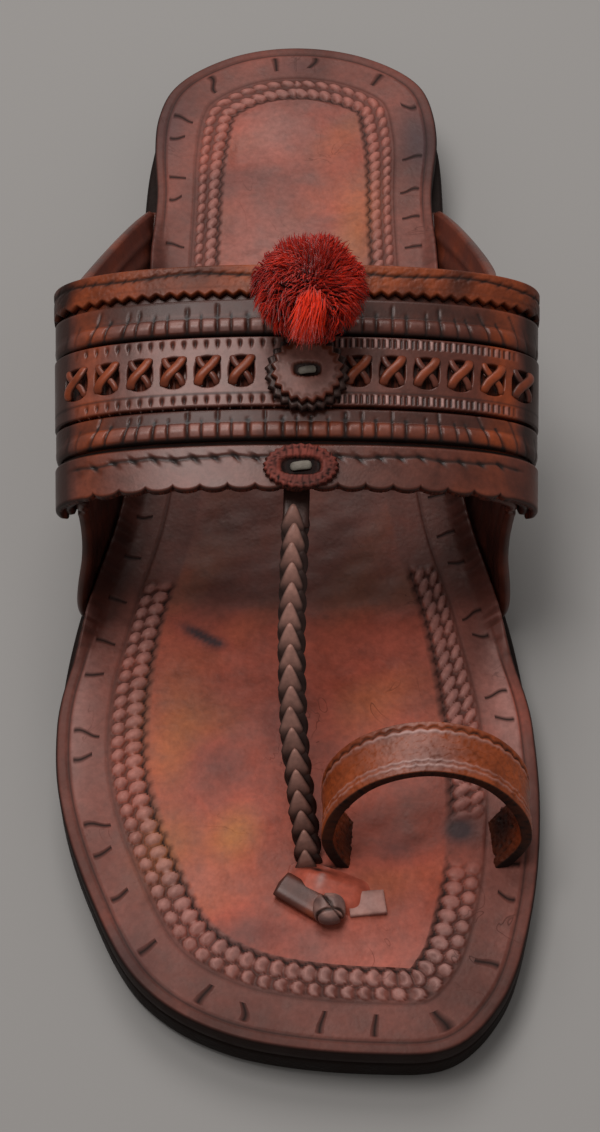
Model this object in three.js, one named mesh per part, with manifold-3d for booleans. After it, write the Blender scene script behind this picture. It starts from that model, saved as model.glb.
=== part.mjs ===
// A braided leather toe-loop sandal for the right foot, in millimetres.
// +Z is up, the toe points along -Y and the big toe's side is +X.
// The origin lies on the floor, under the middle of the sandal.
//
// A maker cuts an outsole, an insole and two heel lifts from thick hide, and tucks a
// folded side flap (an ear) between the soles at each side of the waist. A broad instep
// band is stitched outside the ears, and carries its trims, a rosette and a thread pompom.
// A braid runs from the band to the toe, where it and the toe loop pass through the
// insole, and their tails come out again under a raised keeper and end in a knot.

import * as THREE from "three";
import { mergeVertices } from "three/addons/utils/BufferGeometryUtils.js";
import Module from "manifold-3d";

const wasm = await Module();
wasm.setup();

const { degToRad, lerp, smoothstep, clamp } = THREE.MathUtils;

// Driving dimensions
const clearance = 0.3; // air left between two pieces that touch

// Soles
const soleLength = 280;
const ballWidth = 104;
const waistWidth = 80;
const heelWidth = 73;
const outsoleThickness = 6;
const insoleThickness = 4.7;
const insoleBevel = 1.2;
const heelHeight = 8;
const heelLength = 88;
const heelInset = 0.8;
const archLength = 72.8; // from the flat forefoot up to the heel's breast
const toeSpring = 1;
const toeSpringLength = 32;
const soleShift = 0.7; // the soles' middle lies a little to the inner side of the band's

// Instep band
const bandWidth = 52.7; // from its front edge to its rear edge
const bandFrontPlace = -0.113; // share of the sole length, from the middle towards the toe
const bandCrownHeight = 54; // top of the band's front edge above the floor
const bandTilt = 16; // degrees that the band rises towards the heel
const bandHalfWidthFront = 50.6;
const bandHalfWidthRear = 52.6;
const bandCrownDrop = 15.5; // from the crown down to the widest place
const bandSkirtDrop = 13; // full drop of the curve that turns in below it
const bandTurnIn = 14; // degrees that the skirt turns in under the widest place
const bandFlatness = 2.3; // exponent of the arch: 2 is an ellipse, more is flatter
const bandThickness = 2.2;

// Trims on the band, from its front edge and its rear edge to the panel between them
const facingWidth = 11.2;
const facingThickness = 1.4;
const scallopPitch = 5.9;
const scallopDepth = 1.3;
const cordRadius = 2.1;
const cordFlangeThickness = 1.2;
const cordFlatFrom = 42; // round the arch from the crown, where a cord starts to flatten
const cordFlatAt = 51;
const cordFlattening = 0.94; // share of its roundness that it loses there
const frontFlangeWidth = 3;
const panelThickness = 1.4;
const rearFlangeWidth = 4.6;
const bindingWidth = 7.9;
const bindingThickness = 1.5;
const bindingLip = 4; // how far the binding turns under the band
const toothPitch = 3;
const toothDepth = 1.1;

// Woven crosses of the middle panel
const crossesPerSide = 6;
const crossPitch = 7.3;
const crossMiddle = 0.7; // the row's middle, to the inner side of the crown
const firstCross = 12.4;
const crossStrapWidth = 1.9;
const crossRaise = 0.7;
const windowWidth = 5;
const windowLength = 7;
const strapHold = 0.5; // how far a strap runs on past its window's corner

// Ears
const earThickness = 2.4;
const earMargin = 0.4; // ledge of the outsole left outside the ear
const earTuck = 8; // how far the ear reaches in under the insole
const earOverlapOuter = 9; // how far the outer ear runs up inside the band
const earOverlapInner = 19;
const earOverlapRear = 1; // what is left of that at its rear margin
const earFlare = 0.55; // how far it leans out as it leaves the sole, for each unit up
const earPast = 2; // how far its rear margin comes out behind the band
const earFrontPlace = -0.118;
const earRearPlace = 0.3;
const earRamp = 10; // length over which the insole gives way to an ear
const earEndGap = 1; // length of the insole's side left free at each end of an ear
const earFullnessFront = 0.6; // bow of the ear's front, as a share of its height
const earFullnessRear = 0.2;

// Rosette, medallion and pompom
const rosetteDiameter = 15.6;
const rosetteBaseDiameter = 18.2;
const discThickness = 1.3;
const rosetteTeeth = 20;
const rosetteToothDepth = 1.1;
const rosetteBaseToothDepth = 1;
const rosetteShift = 2.2; // to the inner side of the band's middle
const rosetteGap = 0.7; // left between its base disc and the rear cord
const medallionLength = 16.4;
const medallionWidth = 10.4;
const medallionOverhang = 0.3; // how far it stands out over the band's front edge
const medallionShift = 0.9;
const medallionToothDepth = 0.5;
const tieLength = 6;
const tieWidth = 2.6;
const tieThickness = 0.9;
const pompomDiameter = 27;
const pompomCoreDiameter = 17.5;
const pompomShift = 3.4;
const pompomBehind = 3.6; // behind the middle of the rear cord
const pompomRise = 7.3; // its middle above the disc that it rests on
const pompomLocks = 30;
const lockRoot = 0.22; // half widths of a lock, as shares of the pompom's radius
const lockTip = 0.15;
const lockUneven = 0.1; // how much the locks differ in length, the same kind of share
const lockCover = 1.7; // of the ball's height of 2, the part that the locks stand on

// Braid, toe loop and their tails
const braidWidth = 5.4;
const braidThickness = 2.6;
const braidTuck = 9; // length of its tab under the band
const braidPitch = 4.7;
const braidAngle = 52; // degrees that its strips slope
const braidBow = 2.2;
const braidLead = 1; // how far it still runs forward inside the insole
const braidSlitLength = 3.8; // along the sole: longer than its thickness, for its slope
const slitPlace = -0.346; // share of the sole length where the braid meets the insole
const slitShift = 1.8; // to the inner side of the sole's middle
const loopStrapWidth = 11.4;
const loopStrapThickness = 2.6;
const loopSpan = 40.4;
const loopHeight = 25.6; // top of the loop above the insole
const loopLean = 9; // how far its top leans towards the heel
const loopTurn = 7; // degrees that its front edge is turned down
const tailWidth = 6.2;
const tailForward = 8.4; // its middle in front of the braid's slit
const tailOutward = 1;
const tailAngle = 33; // degrees that it is turned in its flat
const tailLength = 12.5;
const tailThickness = 2;
const knotDiameter = 7.2;
const knotHeight = 4.6;
const keeperLength = 20;
const keeperWidth = 12;
const keeperRise = 2.4;
const keeperForward = 6.6;
const keeperInward = 4.6;

// Number of facets
const outlineSamples = 720;
const soleStations = 38;
const archStations = 38;
const earStations = 14;
const loopStations = 28;

// Leathers and thread, as colour, roughness and metalness
const finishes = {
  insoleLeather: { color: 0x8a4a38, roughness: 0.5, metalness: 0 },
  soleLeather: { color: 0x1c110d, roughness: 0.7, metalness: 0 },
  bandLeather: { color: 0x6b3a2c, roughness: 0.42, metalness: 0 },
  tanLeather: { color: 0x93502a, roughness: 0.48, metalness: 0 },
  braidLeather: { color: 0x47302a, roughness: 0.42, metalness: 0 },
  redThread: { color: 0xb3160c, roughness: 0.9, metalness: 0 },
};

// Solids from rings of points

/** Triangles that close a flat ring, found in the ring's own plane. */
function capFaces(ring) {
  const normal = new THREE.Vector3();
  ring.forEach((p, i) => normal.add(p.clone().cross(ring[(i + 1) % ring.length])));
  normal.normalize();
  const across = ring[1].clone().sub(ring[0]).normalize();
  const up = normal.clone().cross(across);
  const flat = ring.map((p) => new THREE.Vector2(p.dot(across), p.dot(up)));
  return THREE.ShapeUtils.triangulateShape(flat, []);
}

/** A closed geometry through rings that all have the same number of points. */
function loft(rings) {
  const size = rings[0].length;
  const positions = rings.flat().flatMap((p) => [p.x, p.y, p.z]);
  const index = [];
  for (let i = 0; i + 1 < rings.length; i++) {
    for (let j = 0; j < size; j++) {
      const a = i * size + j;
      const b = i * size + ((j + 1) % size);
      index.push(a, b, b + size, a, b + size, a + size);
    }
  }
  const last = (rings.length - 1) * size;
  capFaces(rings[0]).forEach(([a, b, c]) => index.push(c, b, a));
  capFaces(rings.at(-1)).forEach(([a, b, c]) => index.push(last + a, last + b, last + c));
  const geometry = new THREE.BufferGeometry();
  geometry.setAttribute("position", new THREE.Float32BufferAttribute(positions, 3));
  geometry.setIndex(index);
  return facingOut(geometry);
}

/** The geometry with its faces turned to point outwards. */
function facingOut(geometry) {
  const p = geometry.getAttribute("position");
  const index = [...geometry.index.array];
  const corner = (i) => new THREE.Vector3().fromBufferAttribute(p, index[i]);
  let volume = 0;
  for (let i = 0; i < index.length; i += 3) {
    volume += corner(i).dot(corner(i + 1).cross(corner(i + 2)));
  }
  if (volume < 0) {
    for (let i = 0; i < index.length; i += 3) {
      [index[i + 1], index[i + 2]] = [index[i + 2], index[i + 1]];
    }
    geometry.setIndex(index);
  }
  return geometry;
}

/** A geometry as a solid that can be joined and cut. */
function solid(geometry) {
  const bare = new THREE.BufferGeometry();
  bare.setAttribute("position", geometry.getAttribute("position").clone());
  if (geometry.index) bare.setIndex(geometry.index.clone());
  const merged = mergeVertices(bare, 1e-4);
  return new wasm.Manifold(
    new wasm.Mesh({
      numProp: 3,
      vertProperties: new Float32Array(merged.getAttribute("position").array),
      triVerts: new Uint32Array(merged.index.array),
    }),
  );
}

/** A joined and cut solid as a geometry. */
function geometryOf(manifold) {
  const mesh = manifold.getMesh();
  const geometry = new THREE.BufferGeometry();
  geometry.setAttribute("position", new THREE.BufferAttribute(mesh.vertProperties, 3));
  geometry.setIndex(new THREE.BufferAttribute(mesh.triVerts, 1));
  return geometry;
}

/** A box of the given size, moved by a matrix. */
function boxAt(matrix, width, depth, height) {
  return solid(new THREE.BoxGeometry(width, depth, height).applyMatrix4(matrix));
}

// Sole outline and profile

// Each row is a point of the outsole's outline, from the toe tip along the outer side to
// the heel and back along the inner side: its place along the sole as a share of the
// length, and its distance from the middle as a share of half the width that it follows.
const outlineTable = [
  { along: -0.5, across: 0.29, of: ballWidth },
  { along: -0.484, across: -0.29, of: ballWidth },
  { along: -0.445, across: -0.625, of: ballWidth },
  { along: -0.368, across: -0.856, of: ballWidth },
  { along: -0.282, across: -1.0, of: ballWidth },
  { along: -0.204, across: -1.019, of: ballWidth },
  { along: -0.121, across: -0.97, of: ballWidth },
  { along: -0.018, across: -1.09, of: waistWidth },
  { along: 0.107, across: -1.0, of: waistWidth },
  { along: 0.257, across: -0.985, of: waistWidth },
  { along: 0.368, across: -1.041, of: heelWidth },
  { along: 0.445, across: -0.905, of: heelWidth },
  { along: 0.486, across: -0.52, of: heelWidth },
  { along: 0.5, across: -0.041, of: heelWidth },
  { along: 0.487, across: 0.47, of: heelWidth },
  { along: 0.45, across: 0.85, of: heelWidth },
  { along: 0.386, across: 0.97, of: heelWidth },
  { along: 0.268, across: 0.908, of: waistWidth },
  { along: 0.125, across: 0.9375, of: waistWidth },
  { along: -0.011, across: 1.01, of: waistWidth },
  { along: -0.125, across: 0.915, of: ballWidth },
  { along: -0.221, across: 0.977, of: ballWidth },
  { along: -0.304, across: 0.985, of: ballWidth },
  { along: -0.389, across: 0.923, of: ballWidth },
  { along: -0.457, across: 0.795, of: ballWidth },
  { along: -0.4945, across: 0.595, of: ballWidth },
];

const heelBreast = soleLength / 2 - heelLength;
const archStart = heelBreast - archLength;
const earFront = earFrontPlace * soleLength;
const earRear = earRearPlace * soleLength;

/** The two sides of the outline, set in by a distance: x at a place along the sole. */
function outline(inset) {
  const row = ({ along, across, of }) =>
    new THREE.Vector3(soleShift + (across * of) / 2, along * soleLength, 0);
  const curve = new THREE.CatmullRomCurve3(outlineTable.map(row), true, "centripetal");
  const points = [];
  for (let i = 0; i < outlineSamples; i++) {
    const tangent = curve.getTangent(i / outlineSamples);
    const inward = new THREE.Vector3(tangent.y, -tangent.x, 0).normalize();
    points.push(curve.getPoint(i / outlineSamples).addScaledVector(inward, inset));
  }
  const ys = points.map((p) => p.y);
  const toe = ys.indexOf(Math.min(...ys));
  const turned = [...points.slice(toe), ...points.slice(0, toe)];
  const heel = turned.reduce((best, p, i) => (p.y > turned[best].y ? i : best), 0);
  const outer = turned.slice(0, heel + 1);
  const inner = [...turned.slice(heel), turned[0]].reverse();
  const sideAt = (side, y) => {
    const i = clamp(side.findIndex((p) => p.y >= y), 1, side.length - 1);
    const share = clamp((y - side[i - 1].y) / (side[i].y - side[i - 1].y || 1), 0, 1);
    return lerp(side[i - 1].x, side[i].x, share);
  };
  return {
    toe: turned[0].y,
    heel: turned[heel].y,
    outer: (y) => sideAt(outer, y),
    inner: (y) => sideAt(inner, y),
  };
}

/** Height of the outsole's underside above the floor: flat forefoot, arch, heel seat. */
function underside(y) {
  const toeStart = soleLength / 2 - toeSpringLength;
  const toe = clamp((-y - toeStart) / toeSpringLength, 0, 1);
  return heelHeight * smoothstep(y, archStart, heelBreast) + toeSpring * toe * toe;
}

const outsoleTop = (y) => underside(y) + outsoleThickness;
const insoleTop = (y) => outsoleTop(y) + clearance + insoleThickness;

/** 1 along the ears and 0 clear of them, with a soft ramp between. */
function earWindow(y) {
  const front = smoothstep(y, earFront - earRamp, earFront - earEndGap);
  const rear = 1 - smoothstep(y, earRear + earEndGap, earRear + earRamp);
  return front * rear;
}

/** Places along the sole, close together at its round ends. */
function stationsBetween(low, high, count, endGap = 0.04) {
  return Array.from({ length: count + 1 }, (_, i) => {
    const share = (1 - Math.cos((Math.PI * i) / count)) / 2;
    return lerp(low + endGap, high - endGap, share);
  });
}

const outsoleOutline = outline(0);
const heelOutline = outline(heelInset);

/** The outsole: one thickness of hide over the arch, square at its edge. */
function outsole() {
  const { toe, heel, outer, inner } = outsoleOutline;
  return loft(
    stationsBetween(toe, heel, soleStations).map((y) => [
      new THREE.Vector3(outer(y), y, underside(y)),
      new THREE.Vector3(inner(y), y, underside(y)),
      new THREE.Vector3(inner(y), y, outsoleTop(y)),
      new THREE.Vector3(outer(y), y, outsoleTop(y)),
    ]),
  );
}

/** One heel lift, between two heights, with a straight breast. */
function heelLift(low, high) {
  const { heel, outer, inner } = heelOutline;
  const places = stationsBetween(2 * heelBreast - heel, heel, soleStations).filter(
    (y) => y > heelBreast + 2 * clearance,
  );
  return loft(
    [heelBreast + clearance, ...places].map((y) => [
      new THREE.Vector3(outer(y), y, low),
      new THREE.Vector3(inner(y), y, low),
      new THREE.Vector3(inner(y), y, high),
      new THREE.Vector3(outer(y), y, high),
    ]),
  );
}

const earRecess = earMargin + earThickness + clearance;
const insoleOuter = (y) => outsoleOutline.outer(y) + earRecess * earWindow(y);
const insoleInner = (y) => outsoleOutline.inner(y) - earRecess * earWindow(y);

/** The insole before it is cut: bevelled, and narrower where the ears stand beside it. */
function insoleBlank() {
  const { toe, heel } = outsoleOutline;
  return loft(
    stationsBetween(toe, heel, soleStations).map((y) => {
      const left = insoleOuter(y);
      const right = insoleInner(y);
      const low = outsoleTop(y) + clearance;
      const high = insoleTop(y);
      const bevel = Math.min(insoleBevel, (right - left) / 3);
      return [
        new THREE.Vector3(left, y, low),
        new THREE.Vector3(right, y, low),
        new THREE.Vector3(right, y, high - bevel),
        new THREE.Vector3(right - bevel, y, high),
        new THREE.Vector3(left + bevel, y, high),
        new THREE.Vector3(left, y, high - bevel),
      ];
    }),
  );
}

/** The rebate under the insole that takes one ear's tuck. side is -1 outer or 1 inner. */
function earRebate(side) {
  const depth = earThickness + 2 * clearance;
  const edge = side < 0 ? outsoleOutline.outer : outsoleOutline.inner;
  const reach = earMargin + earThickness / 2 + earTuck + clearance;
  const places = Array.from({ length: earStations + 1 }, (_, i) =>
    lerp(earFront - clearance, earRear + clearance, i / earStations),
  );
  return solid(
    loft(
      places.map((y) => {
        const outside = edge(y) + side * clearance;
        const inside = edge(y) - side * reach;
        const low = outsoleTop(y) - insoleThickness;
        const high = outsoleTop(y) + clearance + depth;
        return [
          new THREE.Vector3(outside, y, low),
          new THREE.Vector3(inside, y, low),
          new THREE.Vector3(inside, y, high),
          new THREE.Vector3(outside, y, high),
        ];
      }),
    ),
  );
}

// Instep band

/** Half of the band's cross-section as [x, drop] at an angle from the crown. */
function archShape(angle, halfWidth) {
  const power = 2 / bandFlatness;
  const x = halfWidth * Math.sin(angle) ** power;
  const rise = Math.abs(Math.cos(angle)) ** power;
  const upper = bandCrownDrop * (1 - rise);
  const lower = bandCrownDrop + bandSkirtDrop * rise;
  return [x, angle <= Math.PI / 2 ? upper : lower];
}

// Angle and arc length from the crown down one side, for the band's middle
const archSteps = 400;
const archEnd = Math.PI / 2 + degToRad(bandTurnIn);
const bandHalfWidthMiddle = (bandHalfWidthFront + bandHalfWidthRear) / 2;
const archArc = [0];
for (let i = 1; i <= archSteps; i++) {
  const [x0, d0] = archShape((archEnd * (i - 1)) / archSteps, bandHalfWidthMiddle);
  const [x1, d1] = archShape((archEnd * i) / archSteps, bandHalfWidthMiddle);
  archArc.push(archArc.at(-1) + Math.hypot(x1 - x0, d1 - d0));
}
const archHalfLength = archArc.at(-1);

/** The cross-section's x and drop at a distance along it from the crown, either way. */
function archAt(arc, halfWidth) {
  const distance = clamp(Math.abs(arc), 0, archHalfLength);
  const i = clamp(archArc.findIndex((a) => a >= distance), 1, archSteps);
  const share = (distance - archArc[i - 1]) / (archArc[i] - archArc[i - 1]);
  const [x, drop] = archShape((archEnd * (i - 1 + share)) / archSteps, halfWidth);
  return [Math.sign(arc) * x, drop];
}

const tilt = degToRad(bandTilt);
const bandAxis = new THREE.Vector3(0, Math.cos(tilt), Math.sin(tilt));
const bandUp = new THREE.Vector3(0, -Math.sin(tilt), Math.cos(tilt));
const bandFront = new THREE.Vector3(0, bandFrontPlace * soleLength, bandCrownHeight);

/** Frame on the band's outer face: tangent round the arch, axis to the heel, normal. */
function bandFrame(arc, axial, lift = 0) {
  const halfWidth = lerp(bandHalfWidthFront, bandHalfWidthRear, axial / bandWidth);
  const step = 0.4;
  const reach = clamp(arc, step - archHalfLength, archHalfLength - step);
  const [xa, da] = archAt(reach - step, halfWidth);
  const [xb, db] = archAt(reach + step, halfWidth);
  const length = Math.hypot(xb - xa, db - da);
  const [tx, tw] = [(xb - xa) / length, (da - db) / length];
  const [x, drop] = archAt(arc, halfWidth);
  const tangent = new THREE.Vector3(tx, 0, 0).addScaledVector(bandUp, tw);
  const normal = new THREE.Vector3(-tw, 0, 0).addScaledVector(bandUp, tx);
  const place = bandFront
    .clone()
    .addScaledVector(bandAxis, axial)
    .addScaledVector(bandUp, -drop)
    .add(new THREE.Vector3(x, 0, 0))
    .addScaledVector(normal, lift);
  return { place, tangent, normal };
}

const bandPoint = (arc, axial, lift) => bandFrame(arc, axial, lift).place;

/** A matrix that puts a flat piece on the band, turned about the normal. */
function bandMatrix(arc, axial, lift, turn = 0) {
  const { place, tangent, normal } = bandFrame(arc, axial, lift);
  const along = normal.clone().cross(tangent);
  return new THREE.Matrix4()
    .makeBasis(tangent, along, normal)
    .setPosition(place)
    .multiply(new THREE.Matrix4().makeRotationZ(turn));
}

/** A strip round the band: profile gives [axial, lift] corners at each arc place. */
function bandStrip(arcs, profile) {
  return loft(arcs.map((arc) => profile(arc).map(([a, lift]) => bandPoint(arc, a, lift))));
}

/** Evenly spaced places round the arch, ending short of the band's own ends. */
function arcsRound(count, endGap = 0) {
  const reach = archHalfLength - endGap;
  return Array.from({ length: count + 1 }, (_, i) => lerp(-reach, reach, i / count));
}

// Where each trim starts, from the band's front edge
const frontCordStart = facingWidth + clearance;
const panelStart = frontCordStart + 2 * cordRadius + frontFlangeWidth + clearance;
const bindingStart = bandWidth - bindingWidth;
const rearCordStart = bindingStart - clearance - rearFlangeWidth - 2 * cordRadius;
const panelWidth = rearCordStart - clearance - panelStart;
const bandRearEdge = bandWidth - bindingThickness - clearance;

/** The band's wall, which everything else is set on. */
function instepBand() {
  return bandStrip(arcsRound(archStations), () => [
    [scallopDepth, -bandThickness],
    [bandRearEdge, -bandThickness],
    [bandRearEdge, 0],
    [scallopDepth, 0],
  ]);
}

/** Facing along the front edge, with round scallops. */
function frontFacing() {
  const lobes = Math.round((2 * archHalfLength) / scallopPitch);
  const perLobe = 4;
  const arcs = arcsRound(lobes * perLobe);
  return bandStrip(arcs, (arc) => {
    const share = ((arc + archHalfLength) / (2 * archHalfLength)) * lobes;
    const q = 2 * (share - Math.floor(share + 1e-6)) - 1;
    const edge = scallopDepth * (1 - Math.sqrt(Math.max(0, 1 - q * q)));
    return [
      [edge, clearance],
      [facingWidth, clearance],
      [facingWidth, clearance + facingThickness],
      [edge, clearance + facingThickness],
    ];
  });
}

/** A leather-covered cord with the flange that it is stitched down by. */
function coveredCord(start, flangeWidth) {
  const foot = clearance;
  const flangeTop = foot + cordFlangeThickness;
  const end = start + 2 * cordRadius;
  return bandStrip(arcsRound(archStations), (arc) => {
    const round = 1 - cordFlattening * smoothstep(Math.abs(arc), cordFlatFrom, cordFlatAt);
    const arch = [180, 144, 108, 72, 36].map((degrees) => {
      const angle = degToRad(degrees);
      const height = foot + cordRadius * (1 + Math.sin(angle));
      return [start + cordRadius * (1 + Math.cos(angle)), lerp(flangeTop, height, round)];
    });
    const flange = [
      [end, flangeTop],
      [end + flangeWidth, flangeTop],
      [end + flangeWidth, foot],
    ];
    return [[start, foot], ...arch, ...flange];
  });
}

/** Middle panel: one wall with windows, and the straps that cross in each of them. */
function weavePanel() {
  const low = clearance;
  const high = clearance + panelThickness;
  const middle = panelStart + panelWidth / 2;
  const wall = solid(
    bandStrip(arcsRound(archStations), () => [
      [panelStart, low],
      [panelStart + panelWidth, low],
      [panelStart + panelWidth, high],
      [panelStart, high],
    ]),
  );
  const slope = Math.atan2(windowLength, windowWidth);
  const strapLength = Math.hypot(windowLength, windowWidth) + 2 * strapHold;
  const strapHeight = panelThickness / 2;
  const straps = [];
  const windows = [];
  for (const side of [-1, 1]) {
    for (let i = 0; i < crossesPerSide; i++) {
      const arc = crossMiddle + side * (firstCross + i * crossPitch);
      const window = bandMatrix(arc, middle, high);
      windows.push(boxAt(window, windowWidth, windowLength, 4 * panelThickness));
      const under = bandMatrix(arc, middle, low + panelThickness / 2, -slope);
      const over = bandMatrix(arc, middle, high + crossRaise / 2 - strapHeight / 2, slope);
      straps.push(boxAt(under, strapLength, crossStrapWidth, strapHeight));
      straps.push(boxAt(over, strapLength, crossStrapWidth, strapHeight + crossRaise));
    }
  }
  return geometryOf(
    wall.subtract(wasm.Manifold.union(windows)).add(wasm.Manifold.union(straps)),
  );
}

/** Tan binding folded over the rear edge, with a pinked front edge. */
function rearBinding() {
  const teeth = Math.round((2 * archHalfLength) / toothPitch);
  const outside = clearance + bindingThickness;
  const inside = -bandThickness - clearance;
  const fold = bandWidth - bindingThickness;
  const lipEnd = archHalfLength - Math.max(earOverlapOuter, earOverlapInner) - bindingLip;
  return bandStrip(arcsRound(teeth * 2), (arc) => {
    const step = Math.round(((arc + archHalfLength) / archHalfLength) * teeth);
    const edge = bindingStart + (step % 2 ? toothDepth : 0);
    const full = 1 - smoothstep(Math.abs(arc), lipEnd - bindingLip, lipEnd);
    const lip = lerp(clearance / 3, bindingLip, full);
    const lipFoot = inside - lerp(clearance / 3, bindingThickness, full);
    return [
      [edge, clearance],
      [fold, clearance],
      [fold, inside],
      [fold - lip, inside],
      [fold - lip, lipFoot],
      [bandWidth, lipFoot],
      [bandWidth, outside],
      [edge, outside],
    ];
  });
}

// Ears

/**
 * One point of an ear's middle surface. u runs from its front margin to its rear one.
 * v is below 0 on the tuck, 0 to 1 on the free part and above 1 inside the band, where
 * it counts millimetres. The rear margin goes straight from the band down to the sole.
 */
function earPoint(side, overlap, u, v) {
  const y = lerp(earFront, earRear, u);
  const edge = side < 0 ? outsoleOutline.outer(y) : outsoleOutline.inner(y);
  const x = edge - side * (earMargin + earThickness / 2);
  const low = outsoleTop(y) + clearance + earThickness / 2;
  const foot = new THREE.Vector3(x, y, low);
  if (v < 0) return foot.addScaledVector(new THREE.Vector3(-side, 0, 0), -v);

  const lift = -bandThickness - 2 * clearance - earThickness / 2;
  const axial = lerp(scallopDepth + clearance, bandWidth + earPast, u);
  const held = lerp(overlap, earOverlapRear, smoothstep(u, 0, 1)); // length inside the band
  const inside = (height) => bandPoint(side * (archHalfLength - overlap + height), axial, lift);
  if (v > 1) return inside(held * (1 - (v - 1) / overlap));
  const end = inside(held);
  const span = end.distanceTo(foot);
  const rise = inside(held - 1).sub(end).normalize();
  const start = new THREE.Vector3(side * earFlare * (1 - u), 0, 1).normalize();
  const fullness = lerp(earFullnessFront, earFullnessRear, u);
  const [v2, v3] = [v * v, v * v * v];
  return foot
    .multiplyScalar(2 * v3 - 3 * v2 + 1)
    .addScaledVector(start, (v3 - 2 * v2 + v) * span * fullness)
    .addScaledVector(end, 3 * v2 - 2 * v3)
    .addScaledVector(rise, (v3 - v2) * span * fullness);
}

// Where an ear's sections have their corners, from just inside its turn to the band
const earTurnRows = [-earThickness / 4, 0.08, 0.25, 0.5, 0.75, 1];

/** An ear: tucked under the insole, turned up its edge and run up inside the band. */
function ear(side, overlap) {
  const rows = [-earTuck, ...earTurnRows, 1 + overlap / 2, 1 + overlap];
  const step = 0.01;
  const rings = [];
  for (let i = 0; i <= earStations; i++) {
    const u = i / earStations;
    const outer = [];
    const inner = [];
    for (const v of rows) {
      const place = earPoint(side, overlap, u, v);
      const round = earPoint(side, overlap, u, v + step).sub(
        earPoint(side, overlap, u, v - step),
      );
      const along = earPoint(side, overlap, Math.min(1, u + step), v).sub(
        earPoint(side, overlap, Math.max(0, u - step), v),
      );
      const normal = along.cross(round).normalize();
      outer.push(place.clone().addScaledVector(normal, earThickness / 2));
      inner.push(place.clone().addScaledVector(normal, -earThickness / 2));
    }
    rings.push([...outer, ...inner.reverse()]);
  }
  return loft(rings);
}

// Straps of the toe

// Cross-sections of a strap, as shares of half its width and half its thickness
const squareSection = [[-1, -1], [1, -1], [1, 1], [-1, 1]];
const softSection = [
  [-1, -0.5],
  [-0.86, -1],
  [0.86, -1],
  [1, -0.5],
  [1, 0.5],
  [0.86, 1],
  [-0.86, 1],
  [-1, 0.5],
];

/** A strap along a curve: its width lies along a given direction as far as it can. */
function strap(curve, steps, section, width, thickness, wide) {
  const rings = Array.from({ length: steps + 1 }, (_, i) => {
    const place = curve.getPointAt(i / steps);
    const tangent = curve.getTangentAt(i / steps);
    const across = wide.clone().addScaledVector(tangent, -wide.dot(tangent)).normalize();
    const normal = tangent.clone().cross(across);
    return section.map(([a, n]) =>
      place
        .clone()
        .addScaledVector(across, (a * width) / 2)
        .addScaledVector(normal, (n * thickness) / 2),
    );
  });
  return loft(rings);
}

const slitY = slitPlace * soleLength;
const slitTop = insoleTop(slitY);
const slitX = soleShift + slitShift;

// The braid's route from the band's front edge to its slit in the insole: shares of the
// distance along the sole, of the drop and of the bow to the outer side.
const braidTable = [
  { along: 0, drop: 0, bow: 0 },
  { along: 0.2, drop: 0.1, bow: 0.45 },
  { along: 0.46, drop: 0.28, bow: 1 },
  { along: 0.73, drop: 0.55, bow: 0.95 },
  { along: 0.93, drop: 0.86, bow: 0.2 },
  { along: 1, drop: 1, bow: 0 },
];

const braidLift = -bandThickness - clearance - braidThickness / 2;
const braidTop = bandPoint(0, scallopDepth, braidLift);
const braidTab = bandPoint(0, scallopDepth + braidTuck, braidLift);
const braidFoot = new THREE.Vector3(slitX, slitY, slitTop);
const braidEnd = new THREE.Vector3(
  slitX,
  slitY - braidLead,
  outsoleTop(slitY) + 2 * clearance,
);

const braidRoute = new THREE.CatmullRomCurve3(
  [
    braidTab,
    ...braidTable.map(({ along, drop, bow }) => {
      const place = braidTop.clone();
      place.x = lerp(braidTop.x, braidFoot.x, along) - bow * braidBow;
      place.y = lerp(braidTop.y, braidFoot.y, along);
      place.z = lerp(braidTop.z, braidFoot.z, drop);
      return place;
    }),
    braidEnd,
  ],
  false,
  "centripetal",
);

// The plait's core and strips, as shares of the braid's width, thickness and pitch
const plait = {
  coreWidth: 0.86,
  coreThickness: 0.62,
  stripPlace: 0.227,
  stripLength: 0.74,
  stripWidth: 0.44,
};

/** A flat braid: one strap with the strips of the plait raised on its upper face. */
function braid() {
  const routeLength = braidRoute.getLength();
  const core = solid(
    strap(
      braidRoute,
      Math.round(routeLength / braidPitch),
      squareSection,
      plait.coreWidth * braidWidth,
      plait.coreThickness * braidThickness,
      new THREE.Vector3(1, 0, 0),
    ),
  );
  const strips = [];
  for (let run = braidTuck + braidPitch; run < routeLength - braidPitch; run += braidPitch) {
    const t = run / routeLength;
    const tangent = braidRoute.getTangentAt(t).negate();
    const across = new THREE.Vector3(1, 0, 0).addScaledVector(tangent, -tangent.x).normalize();
    const normal = across.clone().cross(tangent);
    for (const side of [-1, 1]) {
      const place = braidRoute
        .getPointAt(t)
        .addScaledVector(across, side * plait.stripPlace * braidWidth)
        .addScaledVector(normal, braidThickness / 4);
      const matrix = new THREE.Matrix4()
        .makeBasis(across, tangent, normal)
        .setPosition(place)
        .multiply(new THREE.Matrix4().makeRotationZ(-side * degToRad(braidAngle)));
      const length = plait.stripLength * braidPitch;
      const width = plait.stripWidth * braidPitch;
      strips.push(boxAt(matrix, length, width, braidThickness / 2));
    }
  }
  return wasm.Manifold.union([core, ...strips]);
}

const loopOuterX = slitX + braidWidth / 2 + clearance + loopStrapThickness / 2;
const loopY = slitY - braidLead + loopStrapWidth / 2;

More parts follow.
